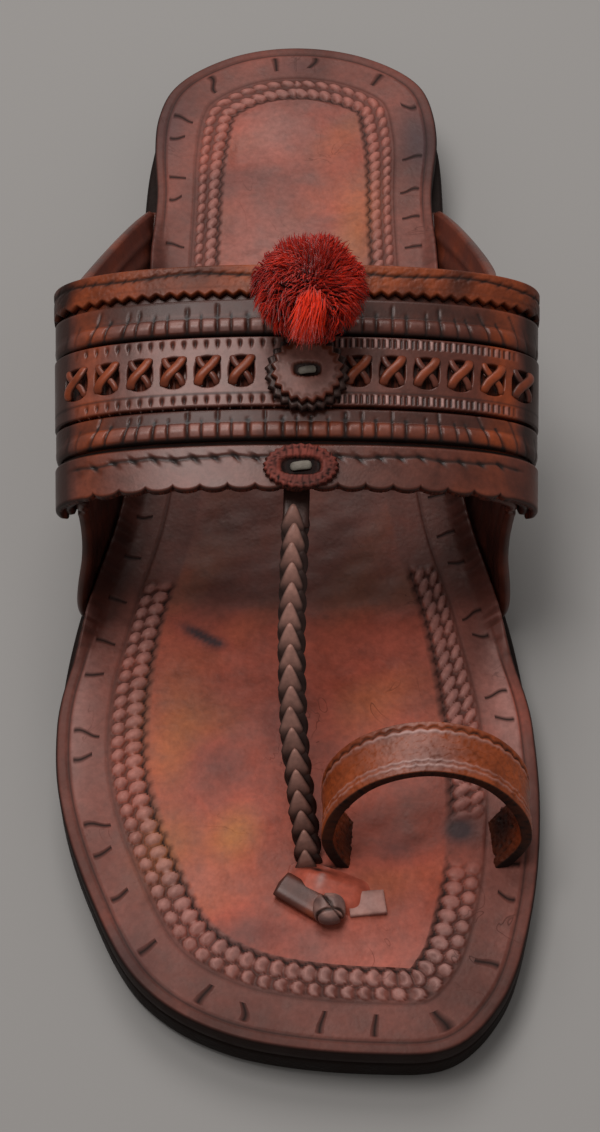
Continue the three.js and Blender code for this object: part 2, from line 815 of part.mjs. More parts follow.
// The toe loop from its outer foot over the big toe to its inner foot: shares of the
// span between its widest places, of its height and of its lean to the heel.
const loopTable = [
  { across: 0.07, rise: 0, lean: 0 },
  { across: 0, rise: 0.48, lean: 0.42 },
  { across: 0.17, rise: 0.86, lean: 0.86 },
  { across: 0.5, rise: 1, lean: 1 },
  { across: 0.84, rise: 0.85, lean: 0.86 },
  { across: 1, rise: 0.46, lean: 0.42 },
  { across: 0.92, rise: 0, lean: 0 },
];

const loopPoint = ({ across, rise, lean }) =>
  new THREE.Vector3(
    loopOuterX + across * loopSpan,
    loopY + lean * loopLean,
    slitTop + rise * (loopHeight - loopStrapThickness / 2),
  );
const loopFeet = [loopPoint(loopTable[0]), loopPoint(loopTable.at(-1))];
const underLoop = new THREE.Vector3(0, 0, outsoleTop(loopY) + 2 * clearance - slitTop);
const loopRoute = new THREE.CatmullRomCurve3(
  [
    loopFeet[0].clone().add(underLoop),
    ...loopTable.map(loopPoint),
    loopFeet[1].clone().add(underLoop),
  ],
  false,
  "centripetal",
);

/** The strap over the big toe. */
function toeLoop() {
  const turn = degToRad(loopTurn);
  const wide = new THREE.Vector3(0, -Math.cos(turn), -Math.sin(turn));
  return solid(
    strap(loopRoute, loopStations, softSection, loopStrapWidth, loopStrapThickness, wide),
  );
}

// The tails' knot lies in front of the slit, turned towards the inner side
const tailTurn = -degToRad(tailAngle);
const tailY = slitY - tailForward;
const tailMiddle = new THREE.Vector3(slitX - tailOutward, tailY, insoleTop(tailY));
const knotMiddle = new THREE.Vector3(
  tailMiddle.x + (tailLength / 2) * Math.cos(tailTurn),
  tailMiddle.y + (tailLength / 2) * Math.sin(tailTurn),
  tailMiddle.z,
);

/** The flat tail that comes out from under the keeper. */
function tailStrap(grow = 0) {
  const matrix = new THREE.Matrix4()
    .makeRotationZ(tailTurn)
    .setPosition(tailMiddle.x, tailMiddle.y, tailMiddle.z + clearance + tailThickness / 2);
  const size = [tailLength + 2 * grow, tailWidth + 2 * grow, tailThickness + 2 * grow];
  return boxAt(matrix, ...size);
}

/** The knot that ends the tails: a low faceted bun. */
function tailKnot(grow = 0) {
  const half = knotHeight / 2;
  const bun = new THREE.SphereGeometry(0.5, 12, 8)
    .rotateX(Math.PI / 2)
    .scale(knotDiameter + 2 * grow, knotDiameter + 2 * grow, knotHeight + 2 * grow)
    .translate(knotMiddle.x, knotMiddle.y, knotMiddle.z + clearance + half);
  return solid(bun);
}

/** The insole: rebated for the ears, slit for the straps, with its raised keeper. */
function insole() {
  const keeperY = slitY - keeperForward;
  const keeper = solid(
    new THREE.SphereGeometry(0.5, 16, 8)
      .rotateX(Math.PI / 2)
      .scale(keeperLength, keeperWidth, 2 * keeperRise)
      .rotateZ(tailTurn / 2)
      .translate(slitX + keeperInward, keeperY, insoleTop(keeperY)),
  );
  const through = 3 * insoleThickness;
  const slot = (x, y, width, depth) =>
    boxAt(
      new THREE.Matrix4().makeTranslation(x, y, slitTop),
      width + 2 * clearance,
      depth + 2 * clearance,
      through,
    );
  const size = 2 * keeperLength;
  const floor = outsoleTop(slitY) + clearance;
  const below = boxAt(
    new THREE.Matrix4().makeTranslation(slitX, slitY, floor - size / 2),
    size,
    size,
    size,
  );
  return solid(insoleBlank())
    .add(keeper.subtract(below))
    .subtract(earRebate(-1))
    .subtract(earRebate(1))
    .subtract(slot(slitX, slitY - braidLead / 2, braidWidth, braidSlitLength))
    .subtract(slot(loopFeet[0].x, loopY, loopStrapThickness, loopStrapWidth))
    .subtract(slot(loopFeet[1].x, loopY, loopStrapThickness, loopStrapWidth))
    .subtract(tailStrap(clearance))
    .subtract(tailKnot(clearance));
}

// Ornaments

/** A flat disc with a pinked edge and a slit for each leg of its tie. */
function pinkedDisc(length, width, teeth, depth) {
  const shape = new THREE.Shape();
  for (let i = 0; i < 2 * teeth; i++) {
    const angle = (Math.PI * i) / teeth;
    const trim = i % 2 ? depth : 0;
    const x = (length / 2 - trim) * Math.cos(angle);
    const y = (width / 2 - trim) * Math.sin(angle);
    if (i) shape.lineTo(x, y);
    else shape.moveTo(x, y);
  }
  const disc = new THREE.ExtrudeGeometry(shape, { depth: discThickness, bevelEnabled: false });
  const slits = [-1, 1].map((side) => {
    const x = (side * (tieLength - tieThickness)) / 2;
    const place = new THREE.Matrix4().makeTranslation(x, 0, discThickness / 2);
    const [slitLength, slitWidth] = [tieThickness + 2 * clearance, tieWidth + 2 * clearance];
    return boxAt(place, slitLength, slitWidth, 2 * discThickness);
  });
  return geometryOf(solid(disc).subtract(wasm.Manifold.union(slits)));
}

/** A flat lace through the slits of a disc: a bar with a leg at each end. */
function tie(legs) {
  const shape = new THREE.Shape();
  const half = tieLength / 2;
  shape.moveTo(-half, -legs);
  shape.lineTo(-half + tieThickness, -legs);
  shape.lineTo(-half + tieThickness, 0);
  shape.lineTo(half - tieThickness, 0);
  shape.lineTo(half - tieThickness, -legs);
  shape.lineTo(half, -legs);
  shape.lineTo(half, tieThickness);
  shape.lineTo(-half, tieThickness);
  return new THREE.ExtrudeGeometry(shape, { depth: tieWidth, bevelEnabled: false })
    .rotateX(Math.PI / 2)
    .translate(0, tieWidth / 2, 0);
}

const rosetteAxial = rearCordStart - rosetteGap - rosetteBaseDiameter / 2;
const rosetteBaseLift = clearance + panelThickness + crossRaise + clearance;
const rosetteLift = rosetteBaseLift + discThickness + clearance;
const rosetteTieLift = rosetteLift + discThickness + clearance;
const medallionAxial = medallionWidth / 2 - medallionOverhang;
const medallionLift = clearance + facingThickness + clearance;
const medallionTieLift = medallionLift + discThickness + clearance;

const pompomAxial = rearCordStart + cordRadius + pompomBehind;
const pompomSeat = rosetteLift + discThickness + clearance;
const pompomLift = pompomSeat + pompomRise;

/** The pompom: a round core with locks of thread fused on, flat where it rests. */
function pompom() {
  const radius = pompomDiameter / 2;
  const parts = [solid(new THREE.IcosahedronGeometry(pompomCoreDiameter / 2, 1))];
  const golden = Math.PI * (3 - Math.sqrt(5));
  const lockWander = 5.3;
  for (let i = 0; i < pompomLocks; i++) {
    const height = 1 - (lockCover * (i + 0.5)) / pompomLocks;
    const ring = Math.sqrt(1 - height * height);
    const way = new THREE.Vector3(
      ring * Math.cos(golden * i),
      ring * Math.sin(golden * i),
      height,
    );
    const length = radius * (1 - lockUneven + lockUneven * Math.sin(lockWander * i));
    const turn = new THREE.Quaternion().setFromUnitVectors(new THREE.Vector3(0, 1, 0), way);
    parts.push(
      solid(
        new THREE.CylinderGeometry(lockTip * radius, lockRoot * radius, length / 2, 4)
          .translate(0, (3 * length) / 4, 0)
          .applyQuaternion(turn),
      ),
    );
  }
  const size = 4 * pompomDiameter;
  const below = boxAt(
    new THREE.Matrix4().makeTranslation(0, 0, pompomSeat - pompomLift - size / 2),
    size,
    size,
    size,
  );
  return geometryOf(wasm.Manifold.union(parts).subtract(below));
}

// Assembly

const sandal = new THREE.Group();

/** Adds a named piece in its own material, placed by a matrix where it has one. */
function add(name, geometry, finish, matrix) {
  const material = new THREE.MeshStandardMaterial(finishes[finish]);
  const mesh = new THREE.Mesh(geometry, material);
  mesh.name = name;
  if (matrix) mesh.applyMatrix4(matrix);
  sandal.add(mesh);
}

const liftThickness = (heelHeight - 2 * clearance) / 2;

add("outsole", outsole(), "soleLeather");
add("heel_lift_lower", heelLift(0, liftThickness), "soleLeather");
add(
  "heel_lift_upper",
  heelLift(liftThickness + clearance, heelHeight - clearance),
  "soleLeather",
);
add("insole", geometryOf(insole()), "insoleLeather");
add("ear_outer_side", ear(-1, earOverlapOuter), "bandLeather");
add("ear_inner_side", ear(1, earOverlapInner), "bandLeather");
add("instep_band", instepBand(), "bandLeather");
add("front_facing", frontFacing(), "bandLeather");
add("front_cord", coveredCord(frontCordStart, frontFlangeWidth), "bandLeather");
add("weave_panel", weavePanel(), "bandLeather");
add("rear_cord", coveredCord(rearCordStart, rearFlangeWidth), "bandLeather");
add("rear_binding", rearBinding(), "tanLeather");
add(
  "rosette_base",
  pinkedDisc(rosetteBaseDiameter, rosetteBaseDiameter, rosetteTeeth, rosetteBaseToothDepth),
  "braidLeather",
  bandMatrix(rosetteShift, rosetteAxial, rosetteBaseLift),
);
add(
  "rosette",
  pinkedDisc(rosetteDiameter, rosetteDiameter, rosetteTeeth, rosetteToothDepth),
  "bandLeather",
  bandMatrix(rosetteShift, rosetteAxial, rosetteLift),
);
add(
  "rosette_tie",
  tie(2 * discThickness),
  "braidLeather",
  bandMatrix(rosetteShift, rosetteAxial, rosetteTieLift),
);
add(
  "medallion",
  pinkedDisc(medallionLength, medallionWidth, rosetteTeeth, medallionToothDepth),
  "bandLeather",
  bandMatrix(medallionShift, medallionAxial, medallionLift),
);
add(
  "medallion_tie",
  tie(discThickness),
  "braidLeather",
  bandMatrix(medallionShift, medallionAxial, medallionTieLift),
);
add("pompom", pompom(), "redThread", bandMatrix(pompomShift, pompomAxial, pompomLift));
add("braid", geometryOf(braid()), "braidLeather");
add("toe_loop", geometryOf(toeLoop()), "tanLeather");
add(
  "tail_strap",
  geometryOf(tailStrap().subtract(tailKnot(clearance))),
  "braidLeather",
);
add("tail_knot", geometryOf(tailKnot()), "braidLeather");

export default sandal;
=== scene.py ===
"""Dresses a braided leather toe-loop sandal, for the right foot, around its solids.

Shapes are worked out in millimetres in the solids' own frame (+Z up, toe along -Y, the big
toe's side +X) as grids of points, and go into the meshes in metres.
"""

import math

import bmesh
import bpy
import numpy as np
from bpy.props import FloatProperty, FloatVectorProperty, IntProperty, PointerProperty
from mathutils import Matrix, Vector


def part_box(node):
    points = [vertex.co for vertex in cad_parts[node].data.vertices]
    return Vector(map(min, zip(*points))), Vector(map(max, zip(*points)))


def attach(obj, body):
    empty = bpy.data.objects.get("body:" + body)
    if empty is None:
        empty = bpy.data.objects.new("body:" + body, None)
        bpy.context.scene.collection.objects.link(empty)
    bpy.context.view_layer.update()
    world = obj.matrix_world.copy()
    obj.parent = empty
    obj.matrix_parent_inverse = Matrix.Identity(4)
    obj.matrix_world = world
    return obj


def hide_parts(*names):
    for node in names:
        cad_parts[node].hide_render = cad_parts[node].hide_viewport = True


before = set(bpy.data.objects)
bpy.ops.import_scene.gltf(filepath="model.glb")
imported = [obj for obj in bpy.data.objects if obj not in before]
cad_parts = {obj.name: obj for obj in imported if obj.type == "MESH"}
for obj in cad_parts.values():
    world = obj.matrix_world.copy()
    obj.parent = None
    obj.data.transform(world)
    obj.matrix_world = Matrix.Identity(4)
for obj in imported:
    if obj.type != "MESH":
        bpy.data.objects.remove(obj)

bl_info = {
    "name": "Leather toe-loop sandal",
    "version": (1, 0, 0),
    "blender": (4, 5, 0),
    "location": "3D View > Sidebar > Sandal",
    "description": "Leathers, braid and pompom of a toe-loop sandal around its solids",
    "category": "Object",
}

MM = 0.001
BODY = "root"


# Values of the solids, in millimetres

CLEARANCE = 0.3
SOLE_LENGTH = 280.0
BALL_WIDTH = 104.0
WAIST_WIDTH = 80.0
HEEL_WIDTH = 73.0
OUTSOLE_THICKNESS = 6.0
INSOLE_THICKNESS = 4.7
HEEL_HEIGHT = 8.0
HEEL_LENGTH = 88.0
HEEL_INSET = 0.8
ARCH_LENGTH = 72.8
TOE_SPRING = 1.0
TOE_SPRING_LENGTH = 32.0
SOLE_SHIFT = 0.7

BAND_WIDTH = 52.7
BAND_FRONT_PLACE = -0.113
BAND_CROWN_HEIGHT = 54.0
BAND_TILT = math.radians(16)
BAND_HALF_FRONT = 50.6
BAND_HALF_REAR = 52.6
BAND_CROWN_DROP = 15.5
BAND_SKIRT_DROP = 13.0
BAND_TURN_IN = math.radians(14)
BAND_FLATNESS = 2.3
BAND_THICKNESS = 2.2

FACING_WIDTH = 11.2
FACING_THICKNESS = 1.4
SCALLOP_PITCH = 5.9
SCALLOP_DEPTH = 1.3
CORD_RADIUS = 2.1
CORD_FLANGE_THICKNESS = 1.2
CORD_FLAT_FROM = 42.0
CORD_FLAT_AT = 51.0
CORD_FLATTENING = 0.94
FRONT_FLANGE = 3.0
REAR_FLANGE = 4.6
PANEL_THICKNESS = 1.4
BINDING_WIDTH = 7.9
BINDING_THICKNESS = 1.5
BINDING_LIP = 4.0
TOOTH_DEPTH = 1.1

CROSSES_PER_SIDE = 6
CROSS_PITCH = 7.3
CROSS_MIDDLE = 0.7
FIRST_CROSS = 12.4
WINDOW_WIDTH = 5.0
WINDOW_LENGTH = 7.0

EAR_THICKNESS = 2.4
EAR_MARGIN = 0.4
EAR_TUCK = 8.0
EAR_OVERLAP = {-1: 9.0, 1: 19.0}
EAR_OVERLAP_REAR = 1.0
EAR_FLARE = 0.55
EAR_PAST = 2.0
EAR_FRONT_PLACE = -0.118
EAR_REAR_PLACE = 0.3
EAR_RAMP = 10.0
EAR_END_GAP = 1.0
EAR_FULLNESS = (0.6, 0.2)

ROSETTE_DIAMETER = 15.6
ROSETTE_BASE_DIAMETER = 18.2
DISC_THICKNESS = 1.3
ROSETTE_SHIFT = 2.2
ROSETTE_GAP = 0.7
CROSS_RAISE = 0.7
MEDALLION_LENGTH = 16.4
MEDALLION_WIDTH = 10.4
MEDALLION_OVERHANG = 0.3
MEDALLION_SHIFT = 0.9

BRAID_WIDTH = 5.4
BRAID_THICKNESS = 2.6
BRAID_TUCK = 9.0
BRAID_BOW = 2.2
BRAID_LEAD = 1.0
SLIT_PLACE = -0.346
SLIT_SHIFT = 1.8
LOOP_WIDTH = 11.4
LOOP_THICKNESS = 2.6
LOOP_SPAN = 40.4
LOOP_HEIGHT = 25.6
LOOP_LEAN = 9.0
LOOP_TURN = math.radians(7)
LOOP_OUTER_X = 6.8
LOOP_Y = -92.18
LOOP_TOE_IN = 3.0
KEEPER_LENGTH = 20.0
KEEPER_WIDTH = 12.0
KEEPER_RISE = 2.4
KEEPER_FORWARD = 6.6
KEEPER_INWARD = 4.6
TAIL_ANGLE = math.radians(33)
TAIL_FORWARD = 8.4
TAIL_LENGTH = 12.5
TAIL_WIDTH = 6.2
TAIL_THICKNESS = 2.0
KNOT_DIAMETER = 7.2
KNOT_HEIGHT = 4.6

# Finer values of the surfaces: lengths in millimetres where no comment says else

OUTSOLE_ROUND = 0.9
INSOLE_BEVEL = 0.8
# Rows of the soles' undersides, as shares of the way in to the middle
BELOW_SHARES = np.array([0.35, 0.7, 1.0])
EDGE_LINE = 2.7
INNER_LINE = 11.3
BEADS_FROM, BEADS_TO = 11.6, 19.3
# A depth past the border's cuts, given to all of the insole but its rings
PAST_NICKS = 40.0
# Where the front rows of beads end along the shoe, on its outer (-1) and inner (1) side
BEADS_END_FRONT = {-1: -27.5, 1: -23.4}
# Rows of stamped beads: middle in from the edge, half width, how far the row is moved on and
# half the length of a bead, both as shares of the pitch
BEAD_ROWS = ((16.9, 2.0, 0.0, 0.49), (13.5, 1.5, 0.5, 0.45))
# Creases of an ear: share along the sole, lean and width
EAR_CREASES = (
    (0.02, 0.5, 0.012),
    (0.07, 0.9, 0.014),
    (0.13, 1.1, 0.016),
    (0.2, 0.7, 0.02),
    (0.86, -0.4, 0.02),
    (0.93, -0.5, 0.015),
)
# Folds of the knot: their planes' normals and distances from its middle
KNOT_FOLDS = ((0.8, 0.5, 0.2, 0.25), (0.1, -0.9, 0.35, 0.55))
FACING_SEAM = 7.5
BINDING_SEAM = 50.0
BINDING_STITCH = 3.1
BINDING_ROUND = 0.9
CREASE_WIDTH = 0.32
# Power of the oblong that a window's edge follows
WINDOW_SHAPE = 2.6
# Number of the pompom's locks, and the spacing in number of the threads that fall forward
POMPOM_LOCKS = 34
TUFT_EVERY = 8
# Length of a leaf of the plait, in spacings of its leaves
LEAF_LENGTH = 1.75

# Floor, light and camera: lengths in metres, except the target

FLOOR_REACH = 12.0
ROOM_LIGHT = 0.3
CAMERA_LENS = 75.35
CAMERA_TARGET = (SOLE_SHIFT, -27.13, 20.0)
CAMERA_DISTANCE = 0.5303
CAMERA_ELEVATION = math.radians(55.45)

# The outline from the toe tip along the outer side to the heel and back along the inner
# side: place along the sole as a share of its length, distance from the middle as a share
# of half the width that it follows.
OUTLINE = (
    (-0.5, 0.29, BALL_WIDTH),
    (-0.484, -0.29, BALL_WIDTH),
    (-0.445, -0.625, BALL_WIDTH),
    (-0.368, -0.856, BALL_WIDTH),
    (-0.282, -1.0, BALL_WIDTH),
    (-0.204, -1.019, BALL_WIDTH),
    (-0.121, -0.97, BALL_WIDTH),
    (-0.018, -1.09, WAIST_WIDTH),
    (0.107, -1.0, WAIST_WIDTH),
    (0.257, -0.985, WAIST_WIDTH),
    (0.368, -1.041, HEEL_WIDTH),
    (0.445, -0.905, HEEL_WIDTH),
    (0.486, -0.52, HEEL_WIDTH),
    (0.5, -0.041, HEEL_WIDTH),
    (0.487, 0.47, HEEL_WIDTH),
    (0.45, 0.85, HEEL_WIDTH),
    (0.386, 0.97, HEEL_WIDTH),
    (0.268, 0.908, WAIST_WIDTH),
    (0.125, 0.9375, WAIST_WIDTH),
    (-0.011, 1.01, WAIST_WIDTH),
    (-0.125, 0.915, BALL_WIDTH),
    (-0.221, 0.977, BALL_WIDTH),
    (-0.304, 0.985, BALL_WIDTH),
    (-0.389, 0.923, BALL_WIDTH),
    (-0.457, 0.795, BALL_WIDTH),
    (-0.4945, 0.595, BALL_WIDTH),
)

# The braid's route from the band to its slit: shares of the way along the sole, of the
# drop and of the bow to the outer side.
BRAID_ROUTE = (
    (0.0, 0.0, 0.0),
    (0.2, 0.1, 0.45),
    (0.46, 0.28, 1.0),
    (0.73, 0.55, 0.95),
    (0.93, 0.86, 0.2),
    (1.0, 1.0, 0.0),
)

# The toe loop from its outer foot over the toe: shares of its span, height and lean.
LOOP_ROUTE = (
    (0.08, 0.0, 0.0),
    (0.0, 0.3, 0.26),
    (0.035, 0.6, 0.56),
    (0.2, 0.87, 0.86),
    (0.5, 1.0, 1.0),
    (0.8, 0.88, 0.87),
    (0.97, 0.6, 0.56),
    (1.0, 0.3, 0.26),
    (0.89, 0.0, 0.0),
)


# Small formulas


def vec(x, y, z):
    """Points from three arrays that may differ in shape."""
    return np.stack(np.broadcast_arrays(x, y, z), -1).astype(float)


def unit(v):
    """Vectors brought to length 1."""
    return v / np.maximum(np.linalg.norm(v, axis=-1, keepdims=True), 1e-9)


def ease(x, low, high):
    """0 below low and 1 above high, with a soft s-shaped ramp 3t^2 - 2t^3 between."""
    t = np.clip((x - low) / (high - low), 0, 1)
    return t * t * (3 - 2 * t)


def ridge(x, middle, width):
    """A soft bell of height 1: e to the minus square of the distance over the width."""
    return np.exp(-(((x - middle) / width) ** 2))


def blend(a, b, share):
    """a at share 0 and b at share 1."""
    return a + (b - a) * share


def rounded(distance, radius):
    """A quarter circle's rise: 0 at an edge and 1 from one radius inside it."""
    t = 1 - np.clip(distance / radius, 0, 1)
    return np.sqrt(np.maximum(1 - t * t, 0))


def nearest(place):
    """How far a place is past the nearest whole number."""
    return place - np.round(place)


def ripple(x, y, wavelength, seed):
    """Slow waves, about -1 to 1: seven plane waves with seeded ways, lengths and phases."""
    rng = np.random.default_rng(seed)
    total = 0
    for _ in range(7):
        turn, phase = rng.uniform(0, 2 * math.pi, 2)
        k = 2 * math.pi / (wavelength * rng.uniform(0.6, 1.6))
        total = total + np.sin(k * (x * math.cos(turn) + y * math.sin(turn)) + phase)
    return total / 3.2


def spline(points, closed, steps):
    """Centripetal Catmull-Rom: a cubic through the points, each span timed by the square
    root of its length. An open curve is carried on past its ends by reflection."""
    points = np.asarray(points, float)
    if closed:
        p0, p1, p2, p3 = (np.roll(points, 1 - i, 0) for i in range(4))
    else:
        first = 2 * points[0] - points[1]
        last = 2 * points[-1] - points[-2]
        run = np.vstack([first, points, last])
        p0, p1, p2, p3 = (run[i : i + len(points) - 1] for i in range(4))
    spans = [(p0, p1), (p1, p2), (p2, p3)]
    d0, d1, d2 = (np.sqrt(np.linalg.norm(b - a, axis=1))[:, None] for a, b in spans)
    m1 = ((p1 - p0) / d0 - (p2 - p0) / (d0 + d1) + (p2 - p1) / d1) * d1
    m2 = ((p2 - p1) / d1 - (p3 - p1) / (d1 + d2) + (p3 - p2) / d2) * d1
    t = (np.arange(steps) / steps)[None, :, None]
    p1, p2, m1, m2 = (a[:, None, :] for a in (p1, p2, m1, m2))
    bend = -3 * p1 + 3 * p2 - 2 * m1 - m2
    twist = 2 * p1 - 2 * p2 + m1 + m2
    curve = (p1 + m1 * t + bend * t**2 + twist * t**3).reshape(-1, points.shape[1])
    return curve if closed else np.vstack([curve, points[-1]])


def lengths(curve):
    """Distance run along a curve at each of its points."""
    steps = np.linalg.norm(np.diff(curve, axis=0), axis=1)
    return np.concatenate([[0], np.cumsum(steps)])


def walk(curve, places):
    """Points of a curve at given distances along it, and its unit tangents there."""
    run = lengths(curve)
    small = run[-1] / 400
    low = np.clip(places - small, 0, run[-1])
    high = np.clip(places + small, 0, run[-1])
    here, before, after = (
        np.stack([np.interp(s, run, curve[:, i]) for i in range(3)], -1)
        for s in (places, low, high)
    )
    return here, unit(after - before)


def ball(rings, columns):
    """Unit vectors to a grid of places on a ball, from its top to its foot."""
    turn = np.linspace(0, 2 * math.pi, columns, endpoint=False)[None]
    fall = np.linspace(0.02, math.pi - 0.02, rings)[:, None]
    return vec(np.sin(fall) * np.cos(turn), np.sin(fall) * np.sin(turn), np.cos(fall))


def node_box(name):
    """A node's low corner, high corner and middle in millimetres."""
    low, high = (np.array(corner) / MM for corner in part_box(name))
    return low, high, (low + high) / 2


# Meshes from grids


def grid(points, tone=0, ink=0, stain=0, uv=None, around=False, along=False, capped=False):
    """A grid of points (rows, columns, 3), or a batch of such grids, with the three attributes
    that colour its leather, for its own colour and for painted light and shade. around joins
    its last column to the first, along its last row to the first, and capped closes its
    first and last row."""
    points = np.asarray(points, float)
    if points.ndim == 3:
        points = points[None]
    shape = points.shape[:3]
    return {
        "points": points,
        "tone": np.broadcast_to(tone, shape),
        "ink": np.broadcast_to(ink, shape),
        "stain": np.broadcast_to(stain, shape),
        "uv": uv,
        "around": around,
        "along": along,
        "capped": capped,
    }


def corner_numbers(shape, along, around):
    """Numbers of each quad's four corners on a batch of grids, joined where asked."""
    index = np.arange(np.prod(shape)).reshape(shape)
    if around:
        index = np.concatenate([index, index[:, :, :1]], 2)
    if along:
        index = np.concatenate([index, index[:, :1]], 1)
    a, b = index[:, :-1, :-1], index[:, :-1, 1:]
    c, d = index[:, 1:, 1:], index[:, 1:, :-1]
    return np.stack([a, b, c, d], -1).reshape(-1, 4)


def make_piece(name, grids, make, replaced=(), merge=1e-4, recalculate=True):
    """An object in metres from grids in millimetres, riding on the sandal's body. make is
    the function of its material, and replaced names the nodes that it stands for."""
    quads, coords, uvs, rings = [], [], [], []
    start = 0
    for g in grids:
        shape = g["points"].shape[:3]
        quads.append(corner_numbers(shape, g["along"], g["around"]) + start)
        coords.append(g["points"].reshape(-1, 3))
        if g["uv"] is None:
            uvs.append(np.zeros((len(quads[-1]), 4, 2)))
        else:
            uv = g["uv"].reshape(-1, 2)
            uv_shape = (shape[0], shape[1] + g["along"], shape[2] + g["around"])
            uvs.append(uv[corner_numbers(uv_shape, False, False)])
        if g["capped"]:
            index = np.arange(np.prod(shape)).reshape(shape) + start
            rings += [row for batch in index for row in (batch[0], batch[-1])]
        start += int(np.prod(shape))
    quads, coords = np.concatenate(quads), np.concatenate(coords)

    mesh = bpy.data.meshes.new(name)
    mesh.vertices.add(len(coords))
    mesh.vertices.foreach_set("co", (coords * MM).ravel())
    mesh.loops.add(quads.size)
    mesh.loops.foreach_set("vertex_index", quads.ravel().astype(np.int32))
    mesh.polygons.add(len(quads))
    mesh.polygons.foreach_set("loop_start", np.arange(0, quads.size, 4, dtype=np.int32))
    mesh.update(calc_edges=True)
    for title in ("tone", "ink", "stain"):
        values = np.concatenate([g[title].ravel() for g in grids])
        layer = mesh.attributes.new(title, "FLOAT", "POINT")
        layer.data.foreach_set("value", values.astype(np.float32))
    layer = mesh.uv_layers.new(name="pattern")
    layer.data.foreach_set("uv", np.concatenate(uvs).astype(np.float32).ravel())

    work = bmesh.new()
    work.from_mesh(mesh)
    work.verts.ensure_lookup_table()
    for ring in rings:
        work.faces.new([work.verts[i] for i in ring])
    if merge:
        bmesh.ops.remove_doubles(work, verts=work.verts, dist=merge * MM)
    if recalculate:
        bmesh.ops.recalc_face_normals(work, faces=work.faces)
    work.to_mesh(mesh)
    work.free()
    mesh.shade_smooth()
    piece = bpy.data.objects.new(name, mesh)
    bpy.context.scene.collection.objects.link(piece)
    mesh.materials.append(finish_of(make))
    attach(piece, BODY)
    if replaced:
        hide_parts(*replaced)


def sheet_between(top, under, tone=0, ink=0, under_tone=0, under_grime_shade_sheen=0):
    """A closed sheet: its rows run over an upper grid and back under a lower one."""

    def over_and_under(over, below):
        over = np.broadcast_to(over, top.shape[:2])
        below = np.broadcast_to(below, under.shape[:2])
        return np.concatenate([over, below[:, ::-1]], 1)

    points = np.concatenate([top, under[:, ::-1]], 1)
    tone, ink = over_and_under(tone, under_tone), over_and_under(ink, under_grime_shade_sheen)
    return grid(points, tone, ink, around=True, capped=True)


def strands(path, across, width, height, sides=6, tone=0, ink=0, taper=0.25):
    """Thin laces or threads along a batch of paths (count, rows, 3). across is each one's
    flat way, and width and height are its full measures, drawn in towards both ends."""
    rows = path.shape[1]
    tangent = unit(np.gradient(path, axis=1))
    wide = unit(across - tangent * np.sum(across * tangent, -1, keepdims=True))
    normal = np.cross(tangent, wide)
    angle = np.linspace(0, 2 * math.pi, sides, endpoint=False)
    run = np.linspace(0, 1, rows)
    full = rounded(np.minimum(run, 1 - run), taper)[None, :, None, None]
    x = np.cos(angle)[None, None, :, None] * np.asarray(width)[..., None, None, None] / 2
    y = np.sin(angle)[None, None, :, None] * np.asarray(height)[..., None, None, None] / 2
    points = path[:, :, None] + full * (x * wide[:, :, None] + y * normal[:, :, None])
    return grid(points, tone, ink, around=True)


# Sole outline and heights

HEEL_BREAST = SOLE_LENGTH / 2 - HEEL_LENGTH
ARCH_START = HEEL_BREAST - ARCH_LENGTH
EAR_FRONT = EAR_FRONT_PLACE * SOLE_LENGTH
EAR_REAR = EAR_REAR_PLACE * SOLE_LENGTH
EAR_RECESS = EAR_MARGIN + EAR_THICKNESS + CLEARANCE


def underside(y):
    """Height of the outsole's underside: a soft rise over the arch, and a toe spring that
    grows with the square of the way to the toe."""
    toe = np.clip((-y - SOLE_LENGTH / 2 + TOE_SPRING_LENGTH) / TOE_SPRING_LENGTH, 0, 1)
    return HEEL_HEIGHT * ease(y, ARCH_START, HEEL_BREAST) + TOE_SPRING * toe**2


def outsole_top(y):
    """Height of the outsole's upper face above the floor at y."""
    return underside(y) + OUTSOLE_THICKNESS


def insole_foot(y):
    """Height of the insole's underside above the floor at y."""
    return outsole_top(y) + CLEARANCE


def insole_top(y):
    """Height of the insole's upper face above the floor at y."""
    return insole_foot(y) + INSOLE_THICKNESS


def ear_window(y):
    """1 along the ears and 0 clear of them, with a long soft ramp at each end."""
    front = ease(y, EAR_FRONT - 3 * EAR_RAMP, EAR_FRONT - EAR_END_GAP)
    return front * (1 - ease(y, EAR_REAR + EAR_END_GAP, EAR_REAR + 3 * EAR_RAMP))


def outline_points():
    """The outline as a dense closed run of points from the toe tip, outer side first."""
    table = [(SOLE_SHIFT + a * w / 2, y * SOLE_LENGTH) for y, a, w in OUTLINE]
    curve = spline(table, True, 120)
    return np.roll(curve, -int(np.argmin(curve[:, 1])), 0)


RIM = outline_points()
RIM_HEEL = int(np.argmax(RIM[:, 1]))
OUTER_SIDE = RIM[: RIM_HEEL + 1]
INNER_SIDE = np.vstack([RIM[RIM_HEEL:], RIM[:1]])[::-1]


def side_x(side, y):
    """The outline's x at a place along the sole, on its outer (-1) or inner (1) side."""
    rim = OUTER_SIDE if side < 0 else INNER_SIDE
    return np.interp(y, rim[:, 1], rim[:, 0])


